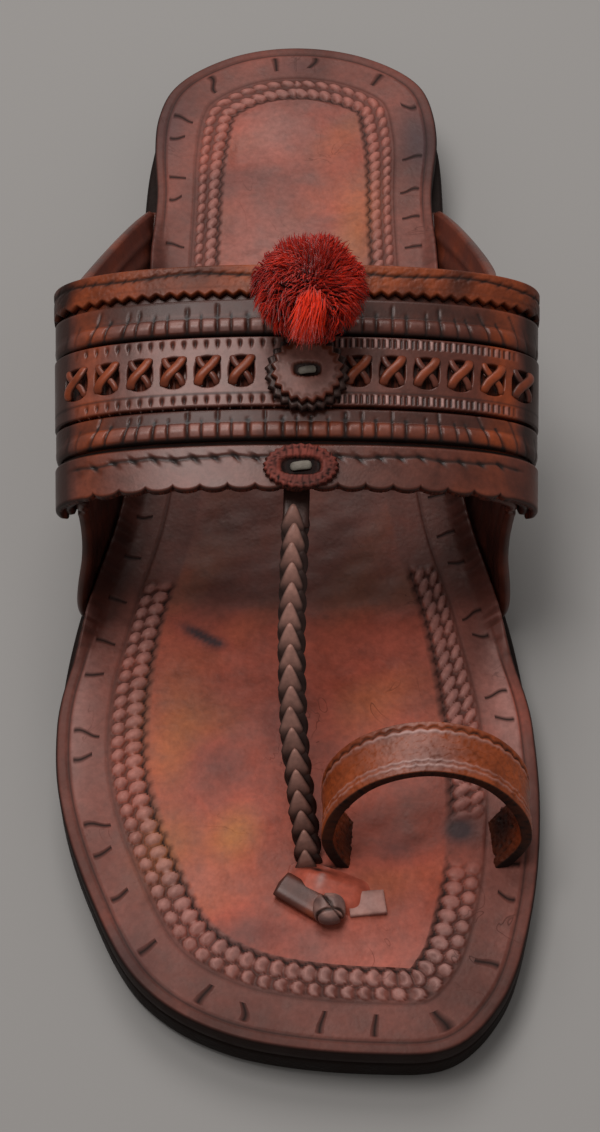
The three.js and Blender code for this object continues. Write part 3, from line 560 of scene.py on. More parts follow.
def rim_normals(rim, softness):
    """Inward normals of the closed outline, their angle averaged over a stretch."""
    step = np.roll(rim, -1, 0) - np.roll(rim, 1, 0)
    angle = np.unwrap(np.arctan2(step[:, 1], step[:, 0]))
    turn = angle[-1] - angle[0]
    full = 2 * math.pi * round(turn / (2 * math.pi))
    run = lengths(np.vstack([rim, rim[:1]]))
    even = np.linspace(0, run[-1], 2001)[:-1]
    flat = np.interp(even, run[:-1], angle) - full * even / run[-1]
    reach = np.arange(-200, 201) * run[-1] / 2000
    weight = np.exp(-((reach / softness) ** 2))
    wrapped = np.concatenate([flat[-200:], flat, flat[:200]])
    flat = np.convolve(wrapped, weight / weight.sum(), "valid")
    angle = np.interp(run[:-1], even, flat) + full * run[:-1] / run[-1]
    return np.stack([-np.sin(angle), np.cos(angle)], -1) * (1 if full > 0 else -1)


def rim_frame(count, reference):
    """Points and inward normals at even steps along each side, from the toe to the heel
    and back, evenly spaced on the line that lies the reference distance inside."""
    normals = rim_normals(RIM, 9.0)
    line = RIM + reference * normals
    base = lengths(np.vstack([line, line[:1]]))
    middle = base[RIM_HEEL]
    half = count // 2
    outer = np.linspace(0, middle, half, endpoint=False)
    inner = np.linspace(middle, base[-1], count - half, endpoint=False)
    run = np.concatenate([outer, inner])
    closed = np.vstack([RIM, RIM[:1]])
    ways = np.vstack([normals, normals[:1]])
    rim = np.stack([np.interp(run, base, closed[:, i]) for i in (0, 1)], -1)
    inward = unit(np.stack([np.interp(run, base, ways[:, i]) for i in (0, 1)], -1))
    side_run = np.where(run < middle, run, base[-1] - run)
    side = np.where(run < middle, -1, 1)
    return rim, inward, side_run, side


# Instep band

ARCH_END = math.pi / 2 + BAND_TURN_IN
BAND_AXIS = np.array([0, math.cos(BAND_TILT), math.sin(BAND_TILT)])
BAND_UP = np.array([0, -math.sin(BAND_TILT), math.cos(BAND_TILT)])
BAND_FRONT = np.array([0, BAND_FRONT_PLACE * SOLE_LENGTH, BAND_CROWN_HEIGHT])


def arch_shape(angle, half_width):
    """Half of the band's section: x is half_width times the sine to the power 2/flatness,
    and the drop follows the cosine to the same power, fuller above the widest place."""
    power = 2 / BAND_FLATNESS
    x = half_width * np.sin(angle) ** power
    rise = np.abs(np.cos(angle)) ** power
    upper = BAND_CROWN_DROP * (1 - rise)
    lower = BAND_CROWN_DROP + BAND_SKIRT_DROP * rise
    return x, np.where(angle <= math.pi / 2, upper, lower)


ARCH_ANGLES = np.linspace(0, ARCH_END, 401)
ARCH_ARC = lengths(
    np.stack(arch_shape(ARCH_ANGLES, (BAND_HALF_FRONT + BAND_HALF_REAR) / 2), -1)
)
ARCH_HALF = ARCH_ARC[-1]


def arch_at(arc, half_width):
    """The section's x and drop at a distance along it from the crown, either way."""
    angle = np.interp(np.abs(arc), ARCH_ARC, ARCH_ANGLES)
    x, drop = arch_shape(angle, half_width)
    return np.sign(arc) * x, drop


def band_frame(arc, axial, lift=0.0):
    """Places, tangents round the arch and outward normals on the band's outer face."""
    arc, axial, lift = np.broadcast_arrays(arc, axial, lift)
    half_width = blend(BAND_HALF_FRONT, BAND_HALF_REAR, axial / BAND_WIDTH)
    step = 0.4
    reach = np.clip(arc, step - ARCH_HALF, ARCH_HALF - step)
    xa, da = arch_at(reach - step, half_width)
    xb, db = arch_at(reach + step, half_width)
    size = np.hypot(xb - xa, db - da)
    tx, tw = ((xb - xa) / size)[..., None], ((da - db) / size)[..., None]
    x, drop = arch_at(arc, half_width)
    ahead = np.array([1.0, 0, 0])
    tangent = tx * ahead + tw * BAND_UP
    normal = -tw * ahead + tx * BAND_UP
    place = BAND_FRONT + axial[..., None] * BAND_AXIS - drop[..., None] * BAND_UP
    return place + x[..., None] * ahead + lift[..., None] * normal, tangent, normal


def band_point(arc, axial, lift=0.0):
    """Places at a height lift off the band's outer face."""
    return band_frame(arc, axial, lift)[0]


FRONT_CORD = FACING_WIDTH + CLEARANCE
PANEL_START = FRONT_CORD + 2 * CORD_RADIUS + FRONT_FLANGE + CLEARANCE
BINDING_START = BAND_WIDTH - BINDING_WIDTH
REAR_CORD = BINDING_START - CLEARANCE - REAR_FLANGE - 2 * CORD_RADIUS
PANEL_WIDTH = REAR_CORD - CLEARANCE - PANEL_START


def shoulder_tone(arc):
    """Warm where the band turns down at its shoulders, where it rubs, and darker on its sides as
    painted shade.
    """
    warm = 1.0 * ridge(np.abs(arc), 44.5, 4.5)
    return warm - 1.3 * ease(np.abs(arc), 47.5, 52) - 0.15


def painted_band_sheen(arc, ink, strength=1.0):
    """The darkening attribute with a painted pale sheen added, left of the band's middle and a
    little right of it, where the leather is not already dark.
    """
    share = strength * (0.36 * ridge(arc, -20, 20) + 0.08 * ridge(arc, 12, 16))
    return np.clip(ink - share * np.clip(1 - 3 * ink, 0, 1), -1, 1)


def band_strip(arcs, axial, lift, tone=0, ink=0):
    """A closed strip on the band: axial and lift are grids over the arcs, and its foot
    lies one clearance above the band. Its two ends are rounded off and painted dark as shade."""
    left = (arcs[-1] - np.abs(arcs))[:, None]
    lift = CLEARANCE + (lift - CLEARANCE) * rounded(left, 1.0)
    # Painted shade at the strip's two ends
    ink = np.clip(ink + 0.9 * (1 - ease(left, 0.3, 1.6)), -1, 1)
    top = band_point(arcs[:, None], axial, lift)
    edges = axial[:, [0, -1]]
    under = band_point(arcs[:, None], edges, CLEARANCE)
    return sheet_between(top, under, tone, ink)


# Sizes and colours that a user would change


def srgb(code):
    """A hex colour such as 0xA8553A as linear red, green and blue."""
    parts = np.array([(code >> shift) & 255 for shift in (16, 8, 0)]) / 255
    linear = np.where(parts <= 0.04045, parts / 12.92, ((parts + 0.055) / 1.055) ** 2.4)
    return tuple(float(v) for v in linear)


def length_property(title, words, millimetres):
    """A length property, kept in metres as the scene is."""
    return FloatProperty(
        name=title, description=words, default=millimetres * MM, unit="LENGTH", precision=5
    )


def colour_property(title, words, code):
    """A colour property from a hex value."""
    return FloatVectorProperty(
        name=title, description=words, default=srgb(code), subtype="COLOR", min=0, max=1
    )


class SandalSizes(bpy.types.PropertyGroup):
    """Sizes of the tooling, stitches, plait and thread."""

    bead_pitch: length_property("Bead pitch", "Spacing of the stamped beads", 3.35)
    bead_height: length_property("Bead height", "Rise of the stamped beads", 1.05)
    groove_depth: length_property("Groove depth", "Depth of the insole's edge line", 0.4)
    nick_pitch: length_property("Nick pitch", "Spacing of the cuts round the border", 10.4)
    segment_pitch: length_property("Cord segments", "Spacing of the cords' creases", 3.4)
    stitch_pitch: length_property("Stitch pitch", "Spacing of the running stitches", 4.4)
    tick_pitch: length_property("Tick pitch", "Spacing of the panel's small slits", 2.4)
    tooth_pitch: length_property("Tooth pitch", "Spacing of the binding's teeth", 3.0)
    plait_period: length_property("Plait period", "Length of one turn of the plait", 12.9)
    lace_width: length_property("Lace width", "Width of the plait's laces", 3.1)
    thread_width: length_property("Thread width", "Thickness of the pompom's thread", 0.28)
    thread_count: IntProperty(
        name="Threads", description="Threads of the pompom", default=5400, min=100
    )


class SandalColours(bpy.types.PropertyGroup):
    """Colours of the leathers, thread and floor."""

    insole: colour_property("Insole", "Dusky brown of its worn border", 0x7C463C)
    insole_warm: colour_property("Insole middle", "Orange brown under the foot", 0xB0523E)
    # Also mixed in as the painted shadow under the band and the painted shade beside the ears
    insole_dark: colour_property("Insole shade", "Grime and old dye", 0x34120B)
    edge: colour_property("Sole edge", "Blackened cut edge of the hide", 0x17100E)
    band: colour_property("Band", "Waxed brown of the band and ears", 0x5A2C20)
    band_warm: colour_property("Band shoulders", "Orange brown where it rubs", 0x8C3E1A)
    # Also mixed in as painted shade on the band's sides and inner faces
    band_dark: colour_property("Band shade", "Dark brown of its sides", 0x220E0A)
    tan: colour_property("Tan leather", "Binding and toe loop", 0x7A3518)
    tan_warm: colour_property("Tan glow", "Brightest part of the tan leather", 0xA04A20)
    lace: colour_property("Laces", "Dark brown of the plait and ties", 0x3A201A)
    thread: colour_property("Thread", "Deep red of the pompom", 0x780301)
    # The tips' orange red is a painted highlight on the pompom
    thread_tip: colour_property("Thread tips", "Orange red of the pompom", 0xEC3414)
    floor: colour_property("Floor", "Plain grey of the floor", 0x96928F)


def chosen():
    """The sizes, in millimetres by name, and the linear colours by name."""
    sizes = bpy.context.scene.sandal_sizes
    colours = bpy.context.scene.sandal_colours
    millimetres = {name: getattr(sizes, name) / MM for name in SandalSizes.__annotations__}
    millimetres["thread_count"] = sizes.thread_count
    return millimetres, {
        name: tuple(getattr(colours, name)) for name in SandalColours.__annotations__
    }


# Materials


def add(tree, kind, inputs, out=0, ramp=(), **settings):
    """Adds a node with its settings and gives one of its outputs. inputs holds a number, a
    colour or another node's output for each socket, ramp a colour ramp's places and greys."""
    node = tree.nodes.new("ShaderNode" + kind)
    for name, setting in settings.items():
        setattr(node, name, setting)
    for key, given in inputs.items():
        socket = node.inputs[key]
        if isinstance(given, bpy.types.NodeSocket):
            tree.links.new(given, socket)
        elif socket.type == "RGBA":
            socket.default_value = (*given, 1.0)
        else:
            socket.default_value = given
    for place, grey in ramp[2:]:
        node.color_ramp.elements.new(place)
    for stop, (place, grey) in zip(node.color_ramp.elements if ramp else (), ramp):
        stop.position = place
        stop.color = (grey, grey, grey, 1.0)
    return node.outputs[out] if node.outputs else None


def blotches(tree, coords, size, detail=4.0, distortion=0.0):
    """Cloudy patches about size millimetres across: noise spread over 0 to 1."""
    inputs = {"Vector": coords, "Scale": 1 / (size * MM), "Detail": detail}
    noise = add(tree, "TexNoise", {**inputs, "Distortion": distortion})
    return add(tree, "MapRange", {0: noise, 1: 0.3, 2: 0.7})


def nicks(tree, pitch):
    """Cuts in the insole's border, drawn in its pattern coordinates, which are the distance
    along the rim and the depth in from it in millimetres. Each is a ridge along the depth,
    moved, leaned and hooked by a random number, that thins out inwards."""
    place = add(tree, "UVMap", {}, uv_map="pattern")
    run, depth = (add(tree, "SeparateXYZ", {0: place}, axis) for axis in (0, 1))
    start = add(tree, "Math", {0: run, 1: pitch}, operation="SNAP")
    chance = add(tree, "TexWhiteNoise", {"W": start}, noise_dimensions="1D")
    off = add(tree, "Math", {0: run, 1: start}, operation="SUBTRACT")
    off = add(tree, "Math", {0: chance, 1: 4.5, 2: off}, operation="MULTIPLY_ADD")
    off = add(tree, "Math", {0: off, 1: pitch / 2 + 2.25}, operation="SUBTRACT")
    lean = add(tree, "Math", {0: chance, 1: 0.5, 2: -0.25}, operation="MULTIPLY_ADD")
    off = add(tree, "Math", {0: depth, 1: lean, 2: off}, operation="MULTIPLY_ADD")
    bend = add(tree, "Math", {0: depth, 1: 0.9}, operation="MULTIPLY")
    bend = add(tree, "Math", {0: bend}, operation="SINE")
    bend = add(tree, "Math", {0: bend, 1: lean}, operation="MULTIPLY")
    off = add(tree, "Math", {0: bend, 1: 2.6, 2: off}, operation="MULTIPLY_ADD")
    wide = add(tree, "Math", {0: depth, 1: -0.07, 2: 1.15}, operation="MULTIPLY_ADD")
    off = add(tree, "Math", {0: off}, operation="ABSOLUTE")
    off = add(tree, "Math", {0: off, 1: wide}, operation="DIVIDE")
    sharp = add(tree, "Math", {0: 1.0, 1: off}, operation="SUBTRACT", use_clamp=True)
    end = add(tree, "Math", {0: chance, 1: 2.4, 2: 7.4}, operation="MULTIPLY_ADD")
    inside = add(tree, "Math", {0: depth, 1: end}, operation="LESS_THAN")
    begun = add(tree, "MapRange", {0: depth, 1: 3.7, 2: 4.1})
    inside = add(tree, "Math", {0: inside, 1: begun}, operation="MULTIPLY")
    return add(tree, "Math", {0: sharp, 1: inside}, operation="MULTIPLY")


def hairlines(tree, coords):
    """Fine cracks and scratches, where a stretched noise is near one half. They are drawn
    0.2 mm wide, because real ones are too fine to show."""
    inputs = {"Vector": coords, "Scale": 55.0, "Detail": 3.0, "Distortion": 1.4}
    off = add(tree, "Math", {0: add(tree, "TexNoise", inputs), 1: 0.5}, operation="SUBTRACT")
    off = add(tree, "Math", {0: off}, operation="ABSOLUTE")
    line = add(tree, "MapRange", {0: off, 1: 0.0, 2: 0.005, 3: 1.0, 4: 0.0})
    some = add(tree, "MapRange", {0: blotches(tree, coords, 21, 2.0), 1: 0.64, 2: 1.3})
    return add(tree, "Math", {0: line, 1: some}, operation="MULTIPLY")


def empty_material(name):
    """A new material and its node tree, without nodes."""
    material = bpy.data.materials.new(name)
    material.use_nodes = True
    material.node_tree.nodes.clear()
    return material, material.node_tree


def leather(
    name, base, dark, warm, roughness, grain, relief, mottle=0.35, coat=0.05, shine=0.3, cuts=0
):
    """Hide with dye that pooled and wore, from attributes of its mesh, and light and shade
    painted into its colour. tone warms it above 0 and darkens it below, for its own colour
    and for painted light and shade. The second attribute darkens it towards soot above 0,
    for dirt and dye in grooves and for painted shade, and below 0 mixes in a pale painted
    sheen. The third is slate below 0 and ochre above, for stains and for two painted
    shadows. grain is the size of its pebbles and relief their depth in millimetres, and cuts
    the pitch of its nicks."""
    material, tree = empty_material(name)
    coords = add(tree, "TexCoord", {}, "Object")
    tone, ink, stain = (
        add(tree, "Attribute", {}, "Fac", attribute_name=title)
        for title in ("tone", "ink", "stain")
    )
    patches = blotches(tree, coords, 17, 3.0, 0.6)
    cloud = blotches(tree, coords, 5.5, 5.0, 0.3)
    fine = blotches(tree, coords, 1.3)
    shade = add(tree, "Math", {0: patches, 1: 0.6, 2: -0.3}, operation="MULTIPLY_ADD")
    shade = add(tree, "Math", {0: shade, 1: tone}, operation="ADD")
    # Colour of the second attribute above 0: dirt and dye, and painted shade
    grime_and_shade_colour = tuple(0.16 * part for part in dark)
    colour = base
    layers = (
        (shade, 1.0, warm),
        (shade, -1.0, dark),
        (stain, 1.0, srgb(0xB06A35)),
        # Slate: stains, and two painted shadows on the insole
        (stain, -1.0, srgb(0x3E3034)),
        # Pale mauve where the second attribute is below 0: a painted sheen
        (ink, -1.0, srgb(0xB58F88)),
        (fine, 0.3, dark),
    )
    for share, much, dye in layers:
        share = add(tree, "Math", {0: share, 1: much}, operation="MULTIPLY", use_clamp=True)
        colour = add(tree, "Mix", {0: share, 6: colour, 7: dye}, 2, data_type="RGBA")
    greys = ((0.0, 1 - mottle), (0.55, 1.0), (1.0, 1 + 0.4 * mottle))
    speckle = add(tree, "ValToRGB", {0: cloud}, ramp=greys)
    colour = add(
        tree, "Mix", {0: 1.0, 6: colour, 7: speckle}, 2, data_type="RGBA", blend_type="MULTIPLY"
    )
    inputs = {"Vector": coords, "Scale": 1 / (grain * MM)}
    pebbles = add(tree, "TexVoronoi", inputs, feature="SMOOTH_F1")
    height = add(tree, "Math", {0: fine, 1: 0.5, 2: pebbles}, operation="MULTIPLY_ADD")
    if cuts:
        for mark, depth in ((nicks(tree, cuts), -6.0), (hairlines(tree, coords), -1.5)):
            ink = add(tree, "Math", {0: ink, 1: mark}, operation="MAXIMUM")
            inputs = {0: mark, 1: depth, 2: height}
            height = add(tree, "Math", inputs, operation="MULTIPLY_ADD")
    ink = add(tree, "Math", {0: ink, 1: 0.0}, operation="MAXIMUM", use_clamp=True)
    colour = add(tree, "Mix", {0: ink, 6: colour, 7: grime_and_shade_colour}, 2, data_type="RGBA")
    normal = add(tree, "Bump", {"Strength": 1.0, "Distance": relief * MM, "Height": height})
    gloss = add(tree, "Math", {0: cloud, 1: 0.16, 2: roughness - 0.08}, operation="MULTIPLY_ADD")
    gloss = add(tree, "Math", {0: ink, 1: 0.3, 2: gloss}, operation="MULTIPLY_ADD", use_clamp=True)
    sockets = {
        "Base Color": colour,
        "Roughness": gloss,
        "Normal": normal,
        "Coat Weight": coat,
        "Coat Roughness": 0.3,
        "Coat Tint": (1.0, 0.8, 0.74),
        "Specular IOR Level": shine,
        "Specular Tint": (1.0, 0.74, 0.66),
    }
    add(tree, "OutputMaterial", {0: add(tree, "BsdfPrincipled", sockets)})
    return material


def burnished_hide(c, nick_pitch):
    # Vegetable-tanned hide, dyed by hand and burnished by the foot: satin and mottled
    return leather(
        "vegetable_tanned_hide_burnished", c["insole"], c["insole_dark"], c["insole_warm"], 0.5,
        0.9, 0.05, mottle=0.22, coat=0.03, cuts=nick_pitch,
    )


def blackened_edge(c, _):
    # Stacked hide with an inked, rubbed edge: nearly black with a dull shine
    return leather(
        "stacked_hide_edge_inked", c["edge"], srgb(0x0D0908), c["band_dark"], 0.6, 0.7, 0.08,
        mottle=0.3, coat=0.0, shine=0.12,
    )


def waxed_upper(c, _):
    # Waxed upper leather: smooth, with a broad soft highlight on what faces up
    return leather(
        "upper_leather_waxed", c["band"], c["band_dark"], c["band_warm"], 0.42, 0.6, 0.03,
        coat=0.3,
    )


def red_split(c, _):
    # Split suede, dyed red brown: matt, with lying fibres that catch light at its rim
    return leather(
        "split_suede_dyed", srgb(0x5A1E16), srgb(0x240A06), srgb(0x96483C), 0.65, 0.7, 0.1
    )


def bloomed_lace(c, _):
    # Waxed lace: grey where the wax has bloomed, matt
    return leather(
        "waxed_lace_bloomed", srgb(0x5E584F), c["band_dark"], srgb(0x8B857A), 0.6, 0.5, 0.05
    )


def flesh_side(c, _):
    # Flesh side of the hide, turned up: pale, dry and fibrous
    return leather(
        "hide_flesh_side_raw", srgb(0x94635A), c["insole"], srgb(0xB08478), 0.7, 0.8, 0.08
    )


def tan_goatskin(c, _):
    # Drum-dyed goatskin: pebbles of about 0.9 mm that show in the binding
    return leather(
        "goatskin_drum_dyed", c["tan"], c["band_dark"], c["tan_warm"], 0.45, 0.9, 0.12,
        mottle=0.3,
    )


def oiled_lace(c, _):
    # Oiled lace leather: tight grain, paler and browner where it has rubbed and where a highlight
    # is painted, as on the plait's leaf tips
    return leather(
        "lace_leather_oiled", c["lace"], srgb(0x18100F), srgb(0x9A7064), 0.4, 0.5, 0.03,
        mottle=0.25, coat=0.12,
    )


def dyed_cotton(c, _):
    # Cut cotton thread, vat dyed: dull and hairy, deep red, painted darker at its roots as shade
    # and orange red at its tips as a highlight
    material, tree = empty_material("cotton_thread_vat_dyed")
    coords = add(tree, "TexCoord", {}, "Object")
    tone = add(tree, "Attribute", {}, "Fac", attribute_name="tone")
    ink = add(tree, "Attribute", {}, "Fac", attribute_name="ink")
    fuzz = blotches(tree, coords, 0.8)
    share = add(tree, "Math", {0: fuzz, 1: 0.2, 2: tone}, operation="MULTIPLY_ADD", use_clamp=True)
    colour = {0: share, 6: c["thread"], 7: c["thread_tip"]}
    colour = add(tree, "Mix", colour, 2, data_type="RGBA")
    # Painted shade at the threads' roots
    root = tuple(0.15 * part for part in c["thread"])
    colour = add(tree, "Mix", {0: ink, 6: colour, 7: root}, 2, data_type="RGBA")
    sockets = {
        "Base Color": colour,
        "Roughness": 0.75,
        "Sheen Weight": 0.25,
        "Sheen Roughness": 0.4,
        "Specular IOR Level": 0.15,
    }
    add(tree, "OutputMaterial", {0: add(tree, "BsdfPrincipled", sockets)})
    return material


def floor_paint(c, _):
    # Matt emulsion on a studio floor: plain, pale, without a highlight
    material, tree = empty_material("studio_emulsion_matt")
    sockets = {"Base Color": c["floor"], "Roughness": 0.9, "Specular IOR Level": 0.2}
    add(tree, "OutputMaterial", {0: add(tree, "BsdfPrincipled", sockets)})
    return material


MATERIALS = {}


def finish_of(make):
    """The material that a function above makes, made once."""
    if make not in MATERIALS:
        sizes, colours = chosen()
        MATERIALS[make] = make(colours, sizes["nick_pitch"])
    return MATERIALS[make]


# Soles and insole


def sole_shell(edge, upper_z, under_z, shares):
    """Grid rows of a sole: its underside from the middle out, the rings of its edge and
    its top in to the middle. Columns mirror each other across the shoe's length."""
    mirror = -np.arange(edge[0].shape[0])

    def inner(ring, height, shares):
        middle = (ring[:, :2] + ring[mirror][:, :2]) / 2
        rows = blend(ring[None, :, :2], middle[None], shares[:, None, None])
        return np.concatenate([rows, height(rows)[..., None]], -1)

    below = inner(edge[0], under_z, BELOW_SHARES)[::-1]
    above = inner(edge[-1], upper_z, shares)
    return np.concatenate([below, np.stack(edge), above])


def flat_body(outline, low, high, radius):
    """A closed slab on an outline of points, its edges rounded, shrunk in to its middle."""
    middle = outline.mean(0)
    reach = np.linalg.norm(outline - middle, axis=1, keepdims=True)
    turn = np.linspace(0, math.pi / 2, 4)
    inset = radius * (1 - np.sin(turn))
    lower = low + radius * (1 - np.cos(turn))
    insets = np.concatenate([[1e9], inset, inset[::-1], [1e9]])
    heights = np.concatenate([[low], lower, (low + high - lower)[::-1], [high]])
    share = np.clip(1 - insets[:, None, None] / reach[None], 0, 1)
    rows = middle + (outline - middle)[None] * share
    z = np.broadcast_to(heights[:, None, None], rows[..., :1].shape)
    return grid(np.concatenate([rows, z], -1), around=True)


def build_soles():
    """The outsole, its edge rounded by a quarter circle above and below, and two lifts: the
    outline behind the heel's breast, moved in and closed by a straight cut."""
    rim, inward, _, _ = rim_frame(720, 12.0)
    foot, top = underside(rim[:, 1]), outsole_top(rim[:, 1])
    turn = np.linspace(0, math.pi / 2, 4)
    near = OUTSOLE_ROUND * (1 - np.sin(turn))
    far = OUTSOLE_ROUND * (1 - np.cos(turn))
    edge = [np.column_stack([rim + a * inward, foot + b]) for a, b in zip(near, far)]
    edge += [np.column_stack([rim + b * inward, top - a]) for a, b in zip(near, far)]
    shares = np.linspace(0.1, 1, 6)
    rows = sole_shell(
        edge, lambda p: outsole_top(p[..., 1]), lambda p: underside(p[..., 1]), shares
    )
    shell = grid(rows, around=True)
    make_piece("outsole_hide", [shell], blackened_edge, ["outsole"])

    line = rim + HEEL_INSET * inward
    back = line[line[:, 1] > HEEL_BREAST + CLEARANCE]
    breast = np.linspace(back[-1], back[0], 40)[1:-1]
    outline = np.vstack([back, breast])
    step = (HEEL_HEIGHT - CLEARANCE) / 2
    lifts = [
        flat_body(outline, 0.0, step - CLEARANCE / 2, 0.5),
        flat_body(outline, step + CLEARANCE / 2, HEEL_HEIGHT - CLEARANCE, 0.5),
    ]
    names = [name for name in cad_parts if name.startswith("heel")]
    make_piece("heel_lift_hides", lifts, blackened_edge, names)


def tooling(run, depth, side, y, sizes):
    """Height and dye of the insole's border tooling at a distance run along its rim and a
    depth in from its edge: a creased line, a second line and a band of two rows of beads,
    each bead a low dome and the leather between them pressed down and dark. The domes' tops
    are painted pale as a highlight. Round the toe the beads are crescents: a dome less a
    smaller one."""
    groove = ridge(depth, EDGE_LINE, 0.3) + 0.5 * ridge(depth, INNER_LINE, 0.3)
    height = -sizes["groove_depth"] * groove
    ink = 0.8 * ridge(depth, EDGE_LINE, 0.33) + 0.4 * ridge(depth, INNER_LINE, 0.4)
    ink = ink + 0.3 * (1 - ease(depth, 1.8, 2.6))

    pitch = sizes["bead_pitch"]
    lean = np.where(side > 0, 0.9, -0.25) * ease(y, -110, -60)
    lean = np.where(y > 0, 0.55 * side, lean)
    toe = 1 - ease(y, -128, -100)
    domes = 0
    heel = ease(y, 0, 20)
    for middle, half, start, share in BEAD_ROWS:
        half = half * (1 - 0.2 * heel)
        place = run / pitch + start + lean * (depth - middle) / pitch
        off = (place - np.floor(place) - 0.5) * pitch
        q = (off / (share * pitch)) ** 2 + ((depth - middle) / half) ** 2
        dome = np.sqrt(np.maximum(1 - q, 0))
        bite = ((off + 0.25 * pitch) / (0.34 * pitch)) ** 2 + ((depth - middle) / 1.2) ** 2
        domes = domes + dome - 0.75 * toe * np.sqrt(np.maximum(1 - bite, 0)) * dome
    band = ease(depth, BEADS_FROM, 12.3) * (1 - ease(depth, 18.9, BEADS_TO))
    front_end = np.where(side < 0, BEADS_END_FRONT[-1], BEADS_END_FRONT[1])
    shown = np.maximum(1 - ease(y, front_end, front_end + 3), ease(y, 18, 22))
    loop_foot = ridge(y, -91.5, 5.5) * (side > 0)
    band = band * shown * (1 - np.clip(2 * loop_foot, 0, 1))
    worn = 1 - 0.35 * heel
    height = height + band * worn * (sizes["bead_height"] * domes - 0.35)
    # Dark between the beads, and their tops painted pale as a highlight
    ink = ink + band * worn * (0.45 - 0.85 * np.clip(1.9 * domes, 0, 1))
    off = (run / pitch - np.floor(run / pitch) - 0.5) * pitch
    fringe = ridge(depth, 19.0 + 0.5 * np.cos(2 * math.pi * off / pitch), 0.35)
    ink = np.clip(ink + 0.65 * shown * fringe * (1 - loop_foot), -1, 1)
    return height, ink, band * domes


# Blotches on the insole: x, y, half length, half width in millimetres, the
# turn of its length from +X in degrees and how far it tints the hide, to slate below 0 and
# to ochre above
# Most are stains; two, marked below, are painted shadows.
STAINS_AND_SHADOWS = (
    (-21.7, -39.7, 5.2, 1.3, -32, -1.3),
    (-18.0, -41.6, 2.2, 1.2, -20, -0.8),
    # Painted shadow of the braid, along its line
    (-1.5, -62.0, 12.0, 6.0, 80, -0.6),
    (34.6, -88.9, 3.6, 3.0, 0, -1.3),
    (-13.1, -90.1, 6.0, 4.5, 60, 0.9),
    (-26.8, -91.3, 9.0, 6.0, 80, 0.5),
    (-27.0, -62.0, 14.0, 7.0, 85, 0.45),
    # Painted shadow under the toe loop
    (21.8, -93.7, 6.0, 3.5, 10, -0.7),
    (-8.0, -113.0, 10.0, 4.0, 0, -0.5),
    (-37.0, -118.0, 7.0, 5.0, -40, -0.5),
    (-17.0, -72.0, 9.0, 5.0, -30, -0.4),
    (12.0, -55.0, 9.0, 7.0, 0, 0.2),
    (-14.0, 92.0, 9.0, 5.0, 10, -0.3),
    (14.0, 78.0, 14.0, 5.0, 80, 0.5),
    (-33.0, 110.0, 12.0, 5.0, 80, -0.6),
    (31.0, 106.0, 12.0, 5.0, 95, -0.9),
    (0.0, 133.0, 6.0, 3.0, 0, -0.4),
)


# Painted sheen on the insole: x, y, half width and half length in millimetres, share
SHEEN_PATCHES = (
    (47.0, -55.0, 5.0, 20.0, 0.5),
    (-49.0, -62.0, 4.0, 26.0, 0.3),
    (-5.0, 64.0, 16.0, 20.0, 0.28),
    (-6.0, 108.0, 10.0, 12.0, 0.25),
    (14.0, -118.0, 14.0, 7.0, 0.12),
    (-20.0, -102.0, 8.0, 5.0, 0.15),
)


